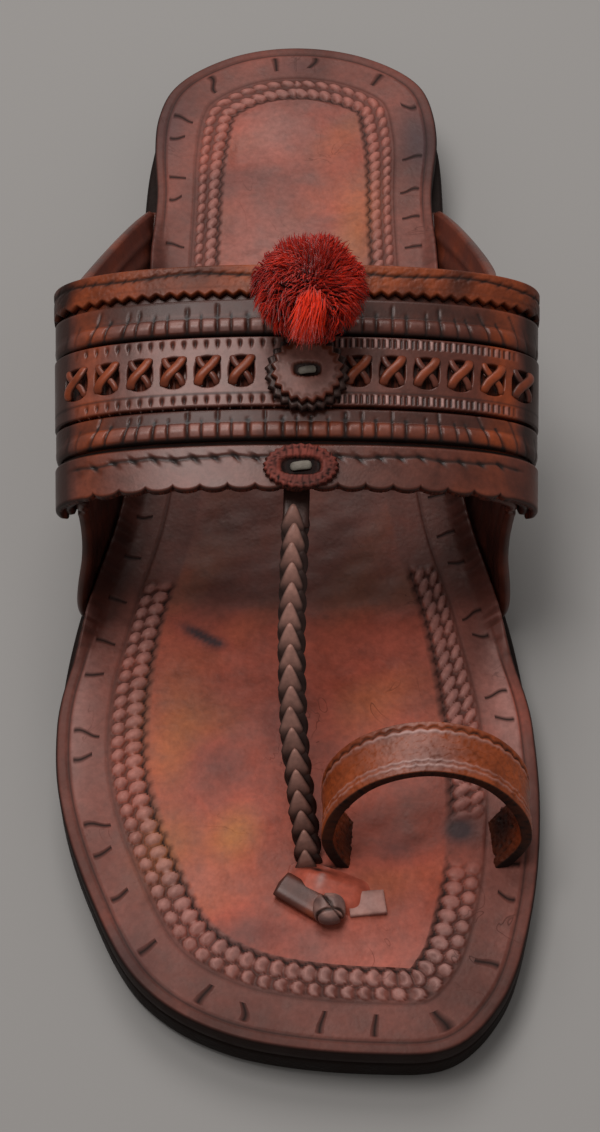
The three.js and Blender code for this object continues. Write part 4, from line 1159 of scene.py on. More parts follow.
def build_insole():
    """The insole: rings at growing depths from its edge that carry the tooling, and a gently
    waved middle. Beside an ear its edge is moved in, and swells up to where the ear leaves."""
    sizes, _ = chosen()
    rim, inward, run, side = rim_frame(1120, 15.5)
    recess = EAR_RECESS * ear_window(rim[:, 1])
    edge = []
    for inset, height in ((0.5, 0.0), (0.0, 0.5), (0.0, 2.0)):
        xy = rim + (recess + inset)[:, None] * inward
        edge.append(np.column_stack([xy, insole_foot(rim[:, 1]) + height]))
    depths = np.concatenate([
        np.array([0.0, 0.12, 0.3, 0.6, 0.9]),
        np.arange(1.3, 11.4, 0.5),
        np.arange(11.5, 19.9, 0.42),
    ])
    total = depths[-1]
    ring_grime_shade_sheen, ring_tone, ring_uv = [], [], []
    sweep = ease(rim[:, 1], -50, -34) * (1 - ease(rim[:, 1], 66, 84))
    for depth in depths:
        rise = blend(3.0, 1.6, ease(rim[:, 1], 0, 50)) * sweep
        rise = rise * (1 - ease(depth, 0.0, 6.0)) ** 1.6
        inset = recess + depth * (total - recess) / total - 0.2 * rise
        xy = rim + inset[:, None] * inward
        height, ink, bead = tooling(run, np.full_like(run, depth), side, xy[:, 1], sizes)
        fall = INSOLE_BEVEL * (1 - rounded(depth, INSOLE_BEVEL))
        flat = 1 - sweep * (1 - ease(depth, 4, 9))
        streak = np.clip(ripple(run, depth * 0.3, 3.2, 15), -1, 1) * np.clip(rise, 0, 1)
        height = height * flat + rise + 0.12 * streak
        edge.append(np.column_stack([xy, insole_top(xy[:, 1]) - fall + height]))
        ink = ink * flat + 0.3 * np.clip(-streak, 0, 1)
        ring_grime_shade_sheen.append(np.clip(ink + 0.95 * (1 - ease(depth, 0.1, 0.5)) * flat, -1, 1))
        # Bead tops painted lighter as a highlight, and the border painted darker beside the ears
        # as shade
        ring_tone.append(0.8 * bead - 0.4 * sweep * (1 - ease(depth, 3, 11)))
        ring_uv.append(np.column_stack([run, np.full_like(run, depth)]))
    shares = np.linspace(0, 1, 27)[1:]

    def top(p):
        x, y = p[..., 0], p[..., 1]
        waves = 0.25 * ripple(x, y, 22, 5) + 0.08 * ripple(x, y, 6, 6)
        return insole_top(y) + waves * np.minimum(1, shares * 6)[:, None]

    rows = sole_shell(edge, top, lambda p: insole_foot(p[..., 1]), shares)
    count, columns = rows.shape[:2]
    first = len(BELOW_SHARES) + 3
    rings = slice(first, first + len(depths))
    ink = np.zeros((count, columns))
    ink[:first] = 1.0
    ink[rings] = ring_grime_shade_sheen
    x, y = rows[..., 0], rows[..., 1]
    inside = np.zeros((count, columns))
    inside[rings] = ease(depths, 18.6, 22)[:, None]
    inside[rings.stop :] = 1
    # Painted shadow under the instep band
    painted_band_shadow = ease(y, -38, -28) * (1 - ease(y, 18, 72))
    tone = -0.15 + 0.85 * inside * (1 - 0.45 * ease(y, 55, 75)) + 0.22 * ripple(x, y, 30, 8)
    tone = tone - 0.35 * (1 - ease(y, -128, -112)) * (1 - inside)
    tone = tone - painted_band_shadow * (0.35 + 0.55 * inside)
    # A lighter patch on the inner ball's border: painted sheen
    tone = tone + 0.35 * ridge(x, 45, 8) * ridge(y, -60, 25) * (1 - inside)
    tone[rings] += ring_tone
    stain = 0.13 * ripple(x, y, 26, 9) * inside
    for px, py, long, wide, degrees, amount in STAINS_AND_SHADOWS:
        turn = math.radians(degrees)
        along = math.cos(turn) * (x - px) + math.sin(turn) * (y - py)
        aside = math.cos(turn) * (y - py) - math.sin(turn) * (x - px)
        stain = stain + amount * ridge(along, 0, long) * ridge(aside, 0, wide)
    # Pale patches of painted sheen, kept out of the band's shadow
    painted_sheen = 0.0
    for px, py, wide, long, amount in SHEEN_PATCHES:
        painted_sheen = painted_sheen + amount * ridge(x, px, wide) * ridge(y, py, long)
    # Painted shade in the braid's slit
    slit = ridge(y, SLIT_PLACE * SOLE_LENGTH - 0.8, 0.7)
    slit = slit * (1 - ease(np.abs(x - 4.5), 5, 6.5))
    ink = ink + 0.06 * painted_band_shadow * ease(y, -36, -24) + slit
    ink = np.clip(ink - painted_sheen * (1 - painted_band_shadow) * np.clip(1 - 3 * ink, 0, 1), -1, 1)
    uv = np.zeros((count, columns + 1, 2))
    uv[..., 1] = PAST_NICKS
    ring_uv = np.array(ring_uv)
    uv[rings] = np.concatenate([ring_uv, ring_uv[:, :1]], 1)
    body = grid(rows, tone, ink, np.clip(stain, -1, 1), uv=uv, around=True)
    make_piece("insole_hide", [body], burnished_hide, ["insole"])


# Ears


def ear_point(side, u, v):
    """Middle of an ear's hide: v below 0 is its tuck under the insole in millimetres, 0 to
    1 a cubic rise from the sole's edge to the band, and above 1 the band's inner face."""
    u, v = np.broadcast_arrays(u, v)
    y = blend(EAR_FRONT, EAR_REAR, u)
    x = side_x(side, y) - side * (EAR_MARGIN + EAR_THICKNESS / 2)
    foot = vec(x, y, outsole_top(y) + CLEARANCE + EAR_THICKNESS / 2)
    tucked = foot + vec(side * np.minimum(v, 0), 0, 0)

    overlap = EAR_OVERLAP[side]
    axial = blend(SCALLOP_DEPTH + CLEARANCE, BAND_WIDTH + EAR_PAST, u)
    lift = -BAND_THICKNESS - 2 * CLEARANCE - EAR_THICKNESS / 2

    def inside(height):
        return band_point(side * (ARCH_HALF - overlap + height), axial, lift)

    held = blend(overlap, EAR_OVERLAP_REAR, ease(u, 0, 1))
    end = inside(held)
    span = np.linalg.norm(end - foot, axis=-1, keepdims=True)
    fullness = blend(EAR_FULLNESS[0], EAR_FULLNESS[1], u)[..., None]
    leave = unit(vec(side * EAR_FLARE * (1 - u), 0, 1)) * span * fullness
    arrive = unit(inside(held - 1) - end) * span * fullness
    t = np.clip(v, 0, 1)[..., None]
    rise = (
        foot * (2 * t**3 - 3 * t**2 + 1)
        + leave * (t**3 - 2 * t**2 + t)
        + end * (3 * t**2 - 2 * t**3)
        + arrive * (t**3 - t**2)
    )
    over = inside(held * np.clip(1 - (v - 1) / overlap, 0, 1))
    turned = np.where((v < 0)[..., None], tucked, rise)
    return np.where((v > 1)[..., None], over, turned)


def build_ears():
    """Two ears of even thickness on both sides of their middle face, with soft creases that
    run down them."""
    for side, name in ((-1, "ear_outer_side"), (1, "ear_inner_side")):
        u = np.linspace(0, 1, 120)[:, None]
        tuck = -EAR_TUCK * np.linspace(1, 0, 8)[:-1]
        over = 1 + EAR_OVERLAP[side] * np.linspace(0, 1, 16)[1:]
        v = np.concatenate([tuck, np.linspace(0, 1, 60), over])[None]
        middle = ear_point(side, u, v)
        normal = unit(np.cross(np.gradient(middle, axis=0), np.gradient(middle, axis=1)))
        normal = normal * np.sign(np.mean(normal[..., 0])) * side
        u, v = np.broadcast_arrays(u, v)
        free = ease(v, 0.0, 0.12) * (1 - ease(v, 0.9, 1.0))
        creases = sum(
            ridge(u, place + 0.12 * lean * v, width) for place, lean, width in EAR_CREASES
        )
        bulge = 1.3 * ease(v, 0.45, 0.85) * (1 - ease(v, 0.93, 1.0)) * (1 - ease(u, 0.02, 0.2))
        fold = bulge - 0.35 * free * creases
        body = EAR_THICKNESS / 2 * rounded(np.minimum(u, 1 - u) * 110, 1.2)[..., None]
        top = middle + normal * (body + fold[..., None])
        under = middle - normal * (body - fold[..., None])
        streaks = ripple(u * 110, v * 40, 11, 11)
        # Painted shade: darker except towards the heel, under the band, and darker still in the
        # creases and at the foot
        tone = -0.55 + 0.25 * streaks + 0.75 * ease(u, 0.6, 0.9)
        ink = np.clip(0.35 * creases * free + 0.35 * (1 - ease(v, 0, 0.15)), 0, 1)
        body = sheet_between(top, under, tone, ink, tone, ink)
        make_piece(name + "_hide", [body], waxed_upper, [name])


# Instep band and its trims


def band_arcs(step, margin=0.0):
    """Evenly spread places round the arch, from one side's lower edge to the other's."""
    reach = ARCH_HALF - margin
    return np.linspace(-reach, reach, int(2 * reach / step) + 1)


def build_band():
    """The band's wall, and over its front the facing. Its scallops are circles' arcs, and its
    seam is a pressed line with a slanting notch for each stitch."""
    arcs = band_arcs(0.6, 0.3)
    share = np.linspace(0, 1, 40)
    corner = 0.8 * (1 - rounded(arcs[-1] - np.abs(arcs), 1.6))[:, None]
    axial = blend(SCALLOP_DEPTH + corner, BAND_WIDTH - 1.8, share[None])
    soft = 0.6 * (1 - rounded(np.minimum(share, 1 - share) * 49, 1.0))
    top = band_point(arcs[:, None], axial, -soft[None])
    under = band_point(arcs[:, None], axial, soft[None] - BAND_THICKNESS)
    # Painted shade: dark at the wall's two ends, and darker on its inner face
    ink = 0.95 - 0.8 * ease(arcs[-1] - np.abs(arcs), 0.5, 3.0)[:, None]
    wall = sheet_between(top, under, shoulder_tone(arcs)[:, None], ink, -0.7, ink)
    make_piece("band_wall", [wall], waxed_upper, ["instep_band"])

    sizes, _ = chosen()
    arcs = band_arcs(0.25, 0.3)
    start = nearest(arcs / SCALLOP_PITCH) * 2
    scallop = SCALLOP_DEPTH * (1 - np.sqrt(np.maximum(1 - start**2, 0)))
    scallop = blend(scallop, 0.5, ease(np.abs(arcs), 44, 48))
    scallop = scallop + 1 - rounded(arcs[-1] - np.abs(arcs), 1.6)
    axial = blend(scallop[:, None], FACING_WIDTH, np.linspace(0, 1, 40)[None])
    near = axial - scallop[:, None]
    lift = CLEARANCE + FACING_THICKNESS * rounded(near, 0.7)
    lift = lift - 1.3 * ease(axial, 9.9, 11.0)
    arc = arcs[:, None]
    seam = FACING_SEAM + 0.25 * np.sin(arc / 3.1) + 0.15 * np.sin(arc / 1.3)
    line = ridge(axial, seam, 0.36) * (1 - ease(np.abs(arc), 48, 51))
    off = nearest(arc / sizes["stitch_pitch"]) * sizes["stitch_pitch"]
    notch = ridge(off, -0.9 * (axial - seam), 0.58) * ridge(axial, seam - 0.2, 0.95)
    notch = notch * (1 - ease(np.abs(arc), 46, 49))
    lift = lift - 0.2 * line - 0.35 * notch
    ink = np.clip(0.85 * line + 1.1 * notch, 0, 1)
    # Painted shadow: a dark line along the scalloped edge, and darkness where the rear edge runs
    # under the front cord
    ink = np.clip(ink + 1 - ease(near, 0.1, 0.65) + ease(axial, 9.9, 10.6), 0, 1)
    tone = shoulder_tone(arc) * blend(0.8, 0.35, ease(arc, 0, 30))
    tone = tone + 0.15 * ripple(arc, axial, 12, 21)
    # The facing takes a weaker painted sheen, left of the band's middle
    strip = band_strip(arcs, axial, lift, tone, painted_band_sheen(arc, ink, 0.6))
    make_piece("scalloped_facing", [strip], waxed_upper, ["front_facing"])


def cord_strip(start, flange, segment_pitch, warm):
    """A rolled cord and the flange behind it: a half round on the band, creased into
    segments, that flattens out towards its two ends."""
    arcs = band_arcs(0.28, 1.6)
    rear = start + 2 * CORD_RADIUS
    turn = np.linspace(0, math.pi, 22)
    over = start + CORD_RADIUS * (1 - np.cos(turn))
    tail = np.linspace(rear, rear + flange, 9)[1:]
    axial = np.concatenate([over, tail])[None]
    arc = arcs[:, None]
    flat = CORD_FLATTENING * ease(np.abs(arc), CORD_FLAT_FROM, CORD_FLAT_AT)
    slant = 0.4 * np.sign(arc) * ease(np.abs(arc), 26, 40)
    uneven = 0.35 * np.sin(arc * 0.9) + 0.3 * np.sin(arc * 0.37)
    place = (arc + uneven + slant * (axial - start - CORD_RADIUS)) / segment_pitch
    crease = ridge(nearest(place) * segment_pitch, 0, CREASE_WIDTH)
    faded = flat * blend(1.0, 0.35, ease(arc, 0, 20))
    dome = np.concatenate([np.sin(turn) ** 0.8, np.zeros(len(tail))])[None]
    body = blend(1.0, CORD_FLANGE_THICKNESS / CORD_RADIUS, flat)
    swell = 1 - 0.24 * crease * (1 - faded)
    roll = np.maximum(dome * CORD_RADIUS * body * swell, 0.02)
    number = np.round(place)
    long = 0.5 + 0.5 * np.sin(2.3 * number + 0.7 * np.sin(number))
    reach = 0.9 + 2.4 * long**3
    back = axial - rear
    short = 1 - ease(back, reach - 0.4, reach)
    pleats = 0.3 * crease * (1 - flat) * short
    skirt = CORD_FLANGE_THICKNESS * rounded(rear + flange - axial, 0.6)
    skirt = skirt - pleats * ease(back, 0, 1)
    past = axial > start + CORD_RADIUS
    lift = CLEARANCE + np.where(past, np.maximum(roll, skirt), roll)
    seam = ridge(back, 0.15, 0.5) * (1 - flat)
    drawn = np.maximum(dome**0.3, (back > -0.3) * short)
    # Painted shade in the creases and along the seam behind the roll
    ink = np.clip(0.95 * crease * drawn * (1 - faded) + 0.5 * seam, 0, 1)
    # Painted shadow under the roll's front foot
    foot = 1 - ease(axial, start + 0.1, start + 0.9)
    ink = np.clip(ink + foot * (1 - 0.6 * flat), 0, 1)
    # Warmer on the roll's top: partly rub wear, partly a painted highlight
    tone = shoulder_tone(arc) + warm * dome * (1 - crease)
    tone = tone - 0.1 * ease(back, 0.2, 0.8)
    ink = np.maximum(ink, 0.35 * ease(back, 0.2, 0.8) * (1 - flat))
    axial = np.broadcast_to(axial, lift.shape)
    # The cord takes a painted sheen, left of the band's middle
    return band_strip(arcs, axial, lift, tone, painted_band_sheen(arc, ink))


def build_cords():
    """Two rolled cords: name, start, width of the flange, warmth of the roll's top (partly a
    painted highlight).
    """
    sizes, _ = chosen()
    cords = (
        ("front_cord", FRONT_CORD, FRONT_FLANGE, 0.45),
        ("rear_cord", REAR_CORD, REAR_FLANGE, 0.15),
    )
    for name, start, flange, warm in cords:
        strip = cord_strip(start, flange, sizes["segment_pitch"], warm)
        make_piece(name + "_rolled", [strip], waxed_upper, [name])


def cross_places():
    """Arc places of the windows, six on each side of the rosette."""
    steps = FIRST_CROSS + CROSS_PITCH * np.arange(CROSSES_PER_SIDE)
    return CROSS_MIDDLE + np.concatenate([-steps[::-1], steps])


def build_weave():
    """The middle panel: windows sunk as rounded oblongs and painted dark as shade, two rows of
    small slits, painted dark as shade on the left and with painted highlights on the right,
    and two bowed straps crossed in each window."""
    sizes, _ = chosen()
    arcs = band_arcs(0.22, 1.6)
    share = np.linspace(0, 1, 74)
    axial = np.broadcast_to(PANEL_START + PANEL_WIDTH * share[None], (len(arcs), 74))
    arc = arcs[:, None]
    centre = PANEL_START + PANEL_WIDTH / 2
    rim = rounded(np.minimum(share, 1 - share) * PANEL_WIDTH, 0.5)[None]
    lift = CLEARANCE + PANEL_THICKNESS * rim
    hollow, ticks = 0, 0
    for place in cross_places():
        q = (np.abs(arc - place) / (WINDOW_WIDTH / 2 + 0.2)) ** WINDOW_SHAPE
        q = q + (np.abs(axial - centre) / (WINDOW_LENGTH / 2 + 0.1)) ** WINDOW_SHAPE
        hollow = np.maximum(hollow, 1 - ease(q, 0.7, 1.15))
    pitch = sizes["tick_pitch"]
    off = nearest(arc / pitch) * pitch
    right = ease(arc, 4, 9)
    slits = 0
    for row in (PANEL_START + 1.6, PANEL_START + PANEL_WIDTH - 1.8):
        thick = np.maximum(0.28 + 0.14 * (axial - row), 0.1)
        ticks = np.maximum(ticks, ridge(off, 0.0, thick) * ridge(axial, row, 0.8))
        slits = np.maximum(slits, 1 - ease(np.abs(axial - row), 0.8, 1.15))
    glint = slits * (1 - ease(np.abs(off), 0.25, 0.5)) * (1 - 0.6 * ease(arc, 26, 42))
    socket = slits * (ease(np.abs(off), 0.25, 0.5) - ease(np.abs(off), 0.75, 1.05))
    clear = 1 - ease(np.abs(arc), 46, 49)
    lift = lift - 1.6 * hollow - 0.5 * ticks * clear * (1 - right)
    lift = lift + right * clear * (0.2 * glint - 0.25 * socket)
    line = ridge(axial, PANEL_START + 3.1, 0.22)
    # Painted shade in the windows, in the left-hand slits and along the panel's edges; on the
    # right, painted highlights on the slits and painted shade in their sockets
    ink = np.clip(hollow + 0.9 * ticks * clear * (1 - right) + 0.6 * line, 0, 1)
    ink = ink + right * clear * (0.8 * socket - 0.9 * glint) * (1 - hollow)
    ink = np.clip(ink + 0.8 * (1 - rim), -1, 1)
    tone = shoulder_tone(arc) + 0.1 * ripple(arc, axial, 9, 31)
    # The panel takes a painted sheen, left of the band's middle
    panel = band_strip(arcs, axial, lift, tone, painted_band_sheen(arc, ink))

    laces = []
    base = CLEARANCE + PANEL_THICKNESS
    run = np.linspace(-1, 1, 19)
    section = np.linspace(0, 2 * math.pi, 16, endpoint=False)
    # Painted shade along the straps' sides
    rims = 0.85 * ease(np.abs(np.cos(section)), 0.72, 0.97)
    for place in cross_places():
        warm = shoulder_tone(np.array([place]))[0]
        for way, rise in ((-1, 0.15), (1, CROSS_RAISE)):
            arc_run = place + 2.1 * run + 0.45 * np.sin(math.pi * run)
            across = centre + 0.3 + way * 3.5 * run
            bump = 1 - np.abs(run) ** 3
            path = band_point(arc_run, across, base - 0.6 + (0.45 + rise) * bump)
            side_way = band_frame(arc_run, across)[1]
            # The upper strap is painted brighter where it bows up: a painted highlight
            tones = warm + 0.25 + 0.75 * (way > 0) * bump[None, :, None]
            laces.append(
                strands(
                    path[None], side_way[None], 1.6 + 0.6 * (way > 0), 1.3, sides=16,
                    tone=tones, ink=rims, taper=0.1,
                )
            )
    # Pale glints in the right-hand windows: painted highlights
    for place in cross_places()[CROSSES_PER_SIDE:-1]:
        run_glint = np.linspace(-0.5, 0.5, 7)
        path = band_point(place - 1.25 + 0.5 * run_glint, centre + 1.6 + 1.3 * run_glint, 0.9)
        across = np.broadcast_to(BAND_AXIS, path[None].shape)
        laces.append(strands(path[None], across, 0.9, 0.6, sides=10, ink=-0.8))
    make_piece(
        "woven_panel", [panel, *laces], waxed_upper, ["weave_panel"]
    )


def build_binding():
    """The binding: a strip with a zigzag front edge and a stitched seam, folded round the
    band's rear edge in a half ellipse, with a lip below, and back along its inner face."""
    sizes, _ = chosen()
    arcs = band_arcs(0.25, 1.2)
    arc = arcs[:, None]
    pitch = sizes["tooth_pitch"]
    tooth = np.abs((arcs / pitch) % 1 - 0.5) * 2
    front = BINDING_START + TOOTH_DEPTH * tooth
    edge = BAND_WIDTH - BINDING_ROUND
    axial = blend(front[:, None], edge, np.linspace(0, 1, 26)[None])
    near = axial - front[:, None]
    off = nearest((arc + 0.5 * np.sin(arc * 0.7)) / BINDING_STITCH) * BINDING_STITCH
    seam = BINDING_SEAM + 0.35 * np.sin(arc / 4.7)
    stitch = ridge(off, 1.1 * (axial - seam), 0.6) * ridge(axial, seam, 0.7)
    stitch = np.maximum(stitch, 0.85 * ridge(axial, seam, 0.34))
    lift = CLEARANCE + BINDING_THICKNESS * rounded(near, 0.5) - 0.3 * stitch
    turn = np.linspace(0, math.pi, 10)[1:-1]
    low = -BAND_THICKNESS - CLEARANCE - 1.2
    middle = (CLEARANCE + BINDING_THICKNESS + low) / 2
    fold_axial = edge + BINDING_ROUND * np.sin(turn)
    fold_lift = middle + (CLEARANCE + BINDING_THICKNESS - middle) * np.cos(turn)
    lip = np.linspace(edge, BAND_WIDTH - BINDING_LIP, 6)
    rows = (len(arcs), 1)
    top_axial = np.concatenate([axial, np.tile(fold_axial, rows), np.tile(lip, rows)], 1)
    top_lift = np.concatenate([lift, np.tile(fold_lift, rows), np.full((len(arcs), 6), low)], 1)
    back_axial = np.concatenate([lip[::-1], [BAND_WIDTH - 1.4] * 2])
    back_lift = np.concatenate([np.full(6, low + 1.2), [low + 1.2, CLEARANCE]])
    inner_axial = np.concatenate(
        [np.tile(back_axial, rows), axial[:, :-3][:, ::-1][:, 1:]], 1
    )
    flat = np.full((len(arcs), inner_axial.shape[1] - 8), CLEARANCE)
    inner_lift = np.concatenate([np.tile(back_lift, rows), flat], 1)
    top = band_point(arc, top_axial, top_lift)
    under = band_point(arc, inner_axial, inner_lift)
    seam = ridge(axial, 47.0, 0.3) * 0.2
    # Painted shadow along the toothed front edge
    ink = np.clip(1.1 * stitch + 0.6 * (1 - ease(near, 0, 0.4)) + seam, 0, 1)
    # Darker on the band's sides: painted shade
    tone = 0.05 - 1.0 * ease(np.abs(arc), 47, 52) + 0.4 * ripple(arc, axial, 14, 41)
    shape = top.shape[:2]
    tones, grime_shade_sheens = np.zeros(shape), np.zeros(shape)
    tones[:, : axial.shape[1]] = tone
    tones[:, axial.shape[1] :] = tone[:, -1:]
    grime_shade_sheens[:, : axial.shape[1]] = ink
    # Its inner face is painted darker as shade
    body = sheet_between(top, under[:, ::-1], tones, grime_shade_sheens, 0, 0.5)
    make_piece("folded_binding", [body], tan_goatskin, ["rear_binding"])


# Rosette, medallion and pompom


def pinked_disc(middle, size, teeth, depth, lift, thickness, hollow, tone, rim_darkness, painted_sheen=0):
    """A toothed disc on the band: rings from its middle out, over its cut edge and back."""
    count = teeth * 8
    angle = np.linspace(0, 2 * math.pi, count, endpoint=False)
    tooth = np.abs((angle * teeth / (2 * math.pi)) % 1 - 0.5) * 2
    share = np.concatenate([np.linspace(0, 0.96, 20), [0.99, 1.0]])[:, None]
    radius = 1 - depth * tooth[None] * ease(share, 0.6, 1.0)
    x = middle[0] + size[0] / 2 * radius * share * np.cos(angle)
    y = middle[1] + size[1] / 2 * radius * share * np.sin(angle)
    crown = thickness * rounded(1 - share, 0.06) * np.ones_like(x)
    slot = np.abs(x - middle[0]) / hollow[0]
    slot = slot**3 + (np.abs(y - middle[1]) / hollow[1]) ** 3
    slot = 1 - ease(slot, 0.75, 1.3)
    top = band_point(x, y, lift + crown - 0.8 * slot)
    under = band_point(x, y, np.full_like(x, lift))
    edge = 0.7 * ease(share, 0.955, 0.99) + rim_darkness * ridge(share, 0.8, 0.05) * tooth
    fibres = np.clip(1.8 * ripple(2 * x, y, 2.2, 35) * (rim_darkness - 0.5), 0, 1)
    # Painted shade in the slot, and a painted sheen over the disc's middle
    ink = 0.95 * slot + edge + fibres - painted_sheen * (1 - ease(share, 0.7, 0.9)) * (1 - slot)
    ink = np.clip(ink, -1, 1)
    points = np.concatenate([top, under[::-1]])
    grime_shade_sheens = np.concatenate([ink, np.zeros_like(ink)])
    tones = np.full(points.shape[:2], float(tone))
    return grid(points, tones, grime_shade_sheens, around=True)


def build_rosettes():
    """The rosette's two discs and the oval medallion, each with a lace through its slot."""
    centre = (ROSETTE_SHIFT, REAR_CORD - ROSETTE_GAP - ROSETTE_BASE_DIAMETER / 2)
    seat = CLEARANCE + PANEL_THICKNESS + CROSS_RAISE + CLEARANCE
    base = pinked_disc(
        centre, (ROSETTE_BASE_DIAMETER,) * 2, 24, 0.1, seat, DISC_THICKNESS, (1, 1), -0.2, 0
    )
    make_piece("rosette_base_pinked", [base], oiled_lace, ["rosette_base"])
    seat = seat + DISC_THICKNESS + CLEARANCE
    disc = pinked_disc(
        centre, (ROSETTE_DIAMETER,) * 2, 20, 0.13, seat, DISC_THICKNESS, (2.9, 1.6), 0.2, 0.5,
        0.3,
    )
    make_piece("rosette_pinked", [disc], waxed_upper, ["rosette"])
    tie = tie_lace((centre[0], centre[1] - 0.2), 3.9, 1.7, seat + DISC_THICKNESS - 0.6)
    make_piece("rosette_lace", [tie], bloomed_lace, ["rosette_tie"])

    middle = (MEDALLION_SHIFT, MEDALLION_WIDTH / 2 - MEDALLION_OVERHANG)
    seat = CLEARANCE + FACING_THICKNESS + CLEARANCE
    oval = pinked_disc(
        middle, (MEDALLION_LENGTH, MEDALLION_WIDTH), 26, 0.07, seat, DISC_THICKNESS,
        (4.3, 2.0), 0.5, 0.9,
    )
    make_piece("medallion_pinked", [oval], red_split, ["medallion"])
    tie = tie_lace(middle, 4.8, 2.0, seat + DISC_THICKNESS - 0.8)
    make_piece("medallion_lace", [tie], bloomed_lace, ["medallion_tie"])


def tie_lace(middle, length, width, lift):
    """A short bowed lace in the middle of a disc."""
    run = np.linspace(-1, 1, 15)
    lift = lift + 0.6 - 0.5 * run**2
    path = band_point(middle[0] + length / 2 * run, middle[1] + 0.3 * run, lift)
    return strands(
        path[None], np.broadcast_to(BAND_AXIS, path[None].shape), width, 0.9, sides=14,
        tone=0.7, taper=0.2,
    )


def build_pompom():
    """Cut threads in locks, each a cubic that rises from the knot and falls outwards, and a
    tuft of them that falls forward, painted paler as a highlight, round a dark ball of painted
    shade."""
    sizes, _ = chosen()
    rng = np.random.default_rng(17)
    low, high, centre = node_box("pompom")
    radius = 0.5 * min(high[0] - low[0], high[1] - low[1])
    count = int(sizes["thread_count"])
    locks = POMPOM_LOCKS
    number = np.arange(locks)
    polar = np.arccos(1 - 1.75 * (number + 0.5) / locks)
    turn = math.pi * (1 + math.sqrt(5)) * number
    aim = vec(np.sin(polar) * np.cos(turn), np.sin(polar) * np.sin(turn), np.cos(polar))
    owner = np.arange(count) % locks
    way = unit(aim[owner] + rng.normal(0, 0.17, (count, 3)))
    reach = radius * rng.uniform(0.84, 1.03, count) * rng.uniform(0.9, 1.05, locks)[owner]
    tuft = np.arange(count) % TUFT_EVERY == 0
    forward = unit(np.array([-0.08, -0.98, 0.1]) + rng.normal(0, 0.1, (count, 3)))
    over = unit(np.array([0.1, -0.52, 0.85]) + rng.normal(0, 0.1, (count, 3)))
    way = np.where(tuft[:, None], forward, way)
    reach = np.where(tuft, radius * rng.uniform(0.95, 1.3, count), reach)
    up = np.array([0.0, 0.0, 1.0])
    shape = reach[:, None] * np.array([1.04, 1.04, 0.86])
    knot = np.array([centre[0], centre[1] - 0.5, low[2] + 2.5])
    bent = rng.normal(0, 1.3, (locks, 3))[owner] + rng.normal(0, 0.5, (count, 3))
    points = (
        knot + 1.2 * way * np.array([1, 1, 0.3]),
        knot + 0.5 * shape * unit(way + 0.75 * up) + 0.5 * bent,
        centre + np.where(
            tuft[:, None], 1.45 * radius * over, 0.98 * shape * unit(way + 0.42 * up) + bent
        ),
        centre + shape * way - 1.6 * up,
    )
    run = np.linspace(0, 1, 6)[None, :, None]
    weights = ((1 - run) ** 3, 3 * run * (1 - run) ** 2, 3 * run**2 * (1 - run), run**3)
    path = sum(w * p[:, None] for w, p in zip(weights, points))
    path[..., 2] = np.clip(path[..., 2], low[2] + 0.3, high[2])
    shade = 0.33 + rng.uniform(-0.12, 0.12, count) + rng.uniform(-0.25, 0.2, locks)[owner]
    # Painted light: threads that point to the inner side and forward are brighter, and the tuft
    # brighter still
    shade = shade + 0.1 * way[:, 0] - 0.1 * way[:, 1] + 0.6 * tuft
    # Brighter towards the tips: a painted highlight
    tone = ease(run[..., 0], 0.1, 1.0) * shade[:, None]
    width = sizes["thread_width"] * rng.uniform(0.8, 1.4, count)
    across = unit(np.cross(way, rng.normal(0, 1, (count, 3))))
    # Darker at the roots: painted shade
    ink = 0.45 * (1 - ease(run[..., 0], 0.3, 0.8)) * np.ones((count, 1))
    body = strands(
        path, np.broadcast_to(across[:, None], path.shape), width, width, sides=3,
        tone=tone[..., None], ink=ink[..., None], taper=0.08,
    )
    # A dark ball inside the threads: painted shade in the pompom's depth
    core = centre - 3.0 * up + 0.55 * radius * ball(13, 24) * np.array([1.0, 1.0, 0.85])
    core = grid(core, -0.2, 1.0, around=True)
    make_piece(
        "pompom_threads", [body, core], dyed_cotton, ["pompom"], merge=0,
        recalculate=False,
    )


# Braid, toe loop and tails


def oblong(width, height, radius, columns):
    """Section of a strap: a rectangle with quarter-round corners, from its +x side round."""
    turn = np.linspace(0, math.pi / 2, 5)
    x0, y0 = width / 2 - radius, height / 2 - radius
    flat = np.linspace(x0, -x0, columns + 2)[1:-1]
    cx, cy = radius * np.cos(turn), radius * np.sin(turn)
    x = np.concatenate([x0 + cx, flat, (-x0 - cx)[::-1]])
    y = np.concatenate([y0 + cy, np.full(columns, height / 2), (y0 + cy)[::-1]])
    return np.concatenate([x, x[::-1]]), np.concatenate([y, -y[::-1]])


def strap(path, across, width, height, sides=32, corner=0.35, tone=0, ink=0, taper=0.02):
    """A strap along one path, its section a rounded oblong: cosine and sine to a power."""
    tangent = unit(np.gradient(path, axis=0))
    wide = unit(across - tangent * np.sum(across * tangent, -1, keepdims=True))
    normal = np.cross(wide, tangent)
    angle = np.linspace(0, 2 * math.pi, sides, endpoint=False)
    cx = np.sign(np.cos(angle)) * np.abs(np.cos(angle)) ** corner
    cy = np.sign(np.sin(angle)) * np.abs(np.sin(angle)) ** (corner * 1.6)
    run = lengths(path)
    run = run / run[-1]
    full = rounded(np.minimum(run, 1 - run), taper)[:, None, None]
    width, height = (np.broadcast_to(v, run.shape)[:, None, None] for v in (width, height))
    x = cx[None, :, None] * width / 2 * full
    y = cy[None, :, None] * height / 2 * full
    points = path[:, None] + x * wide[:, None] + y * normal[:, None]
    return grid(points, tone, ink, around=True, capped=True)


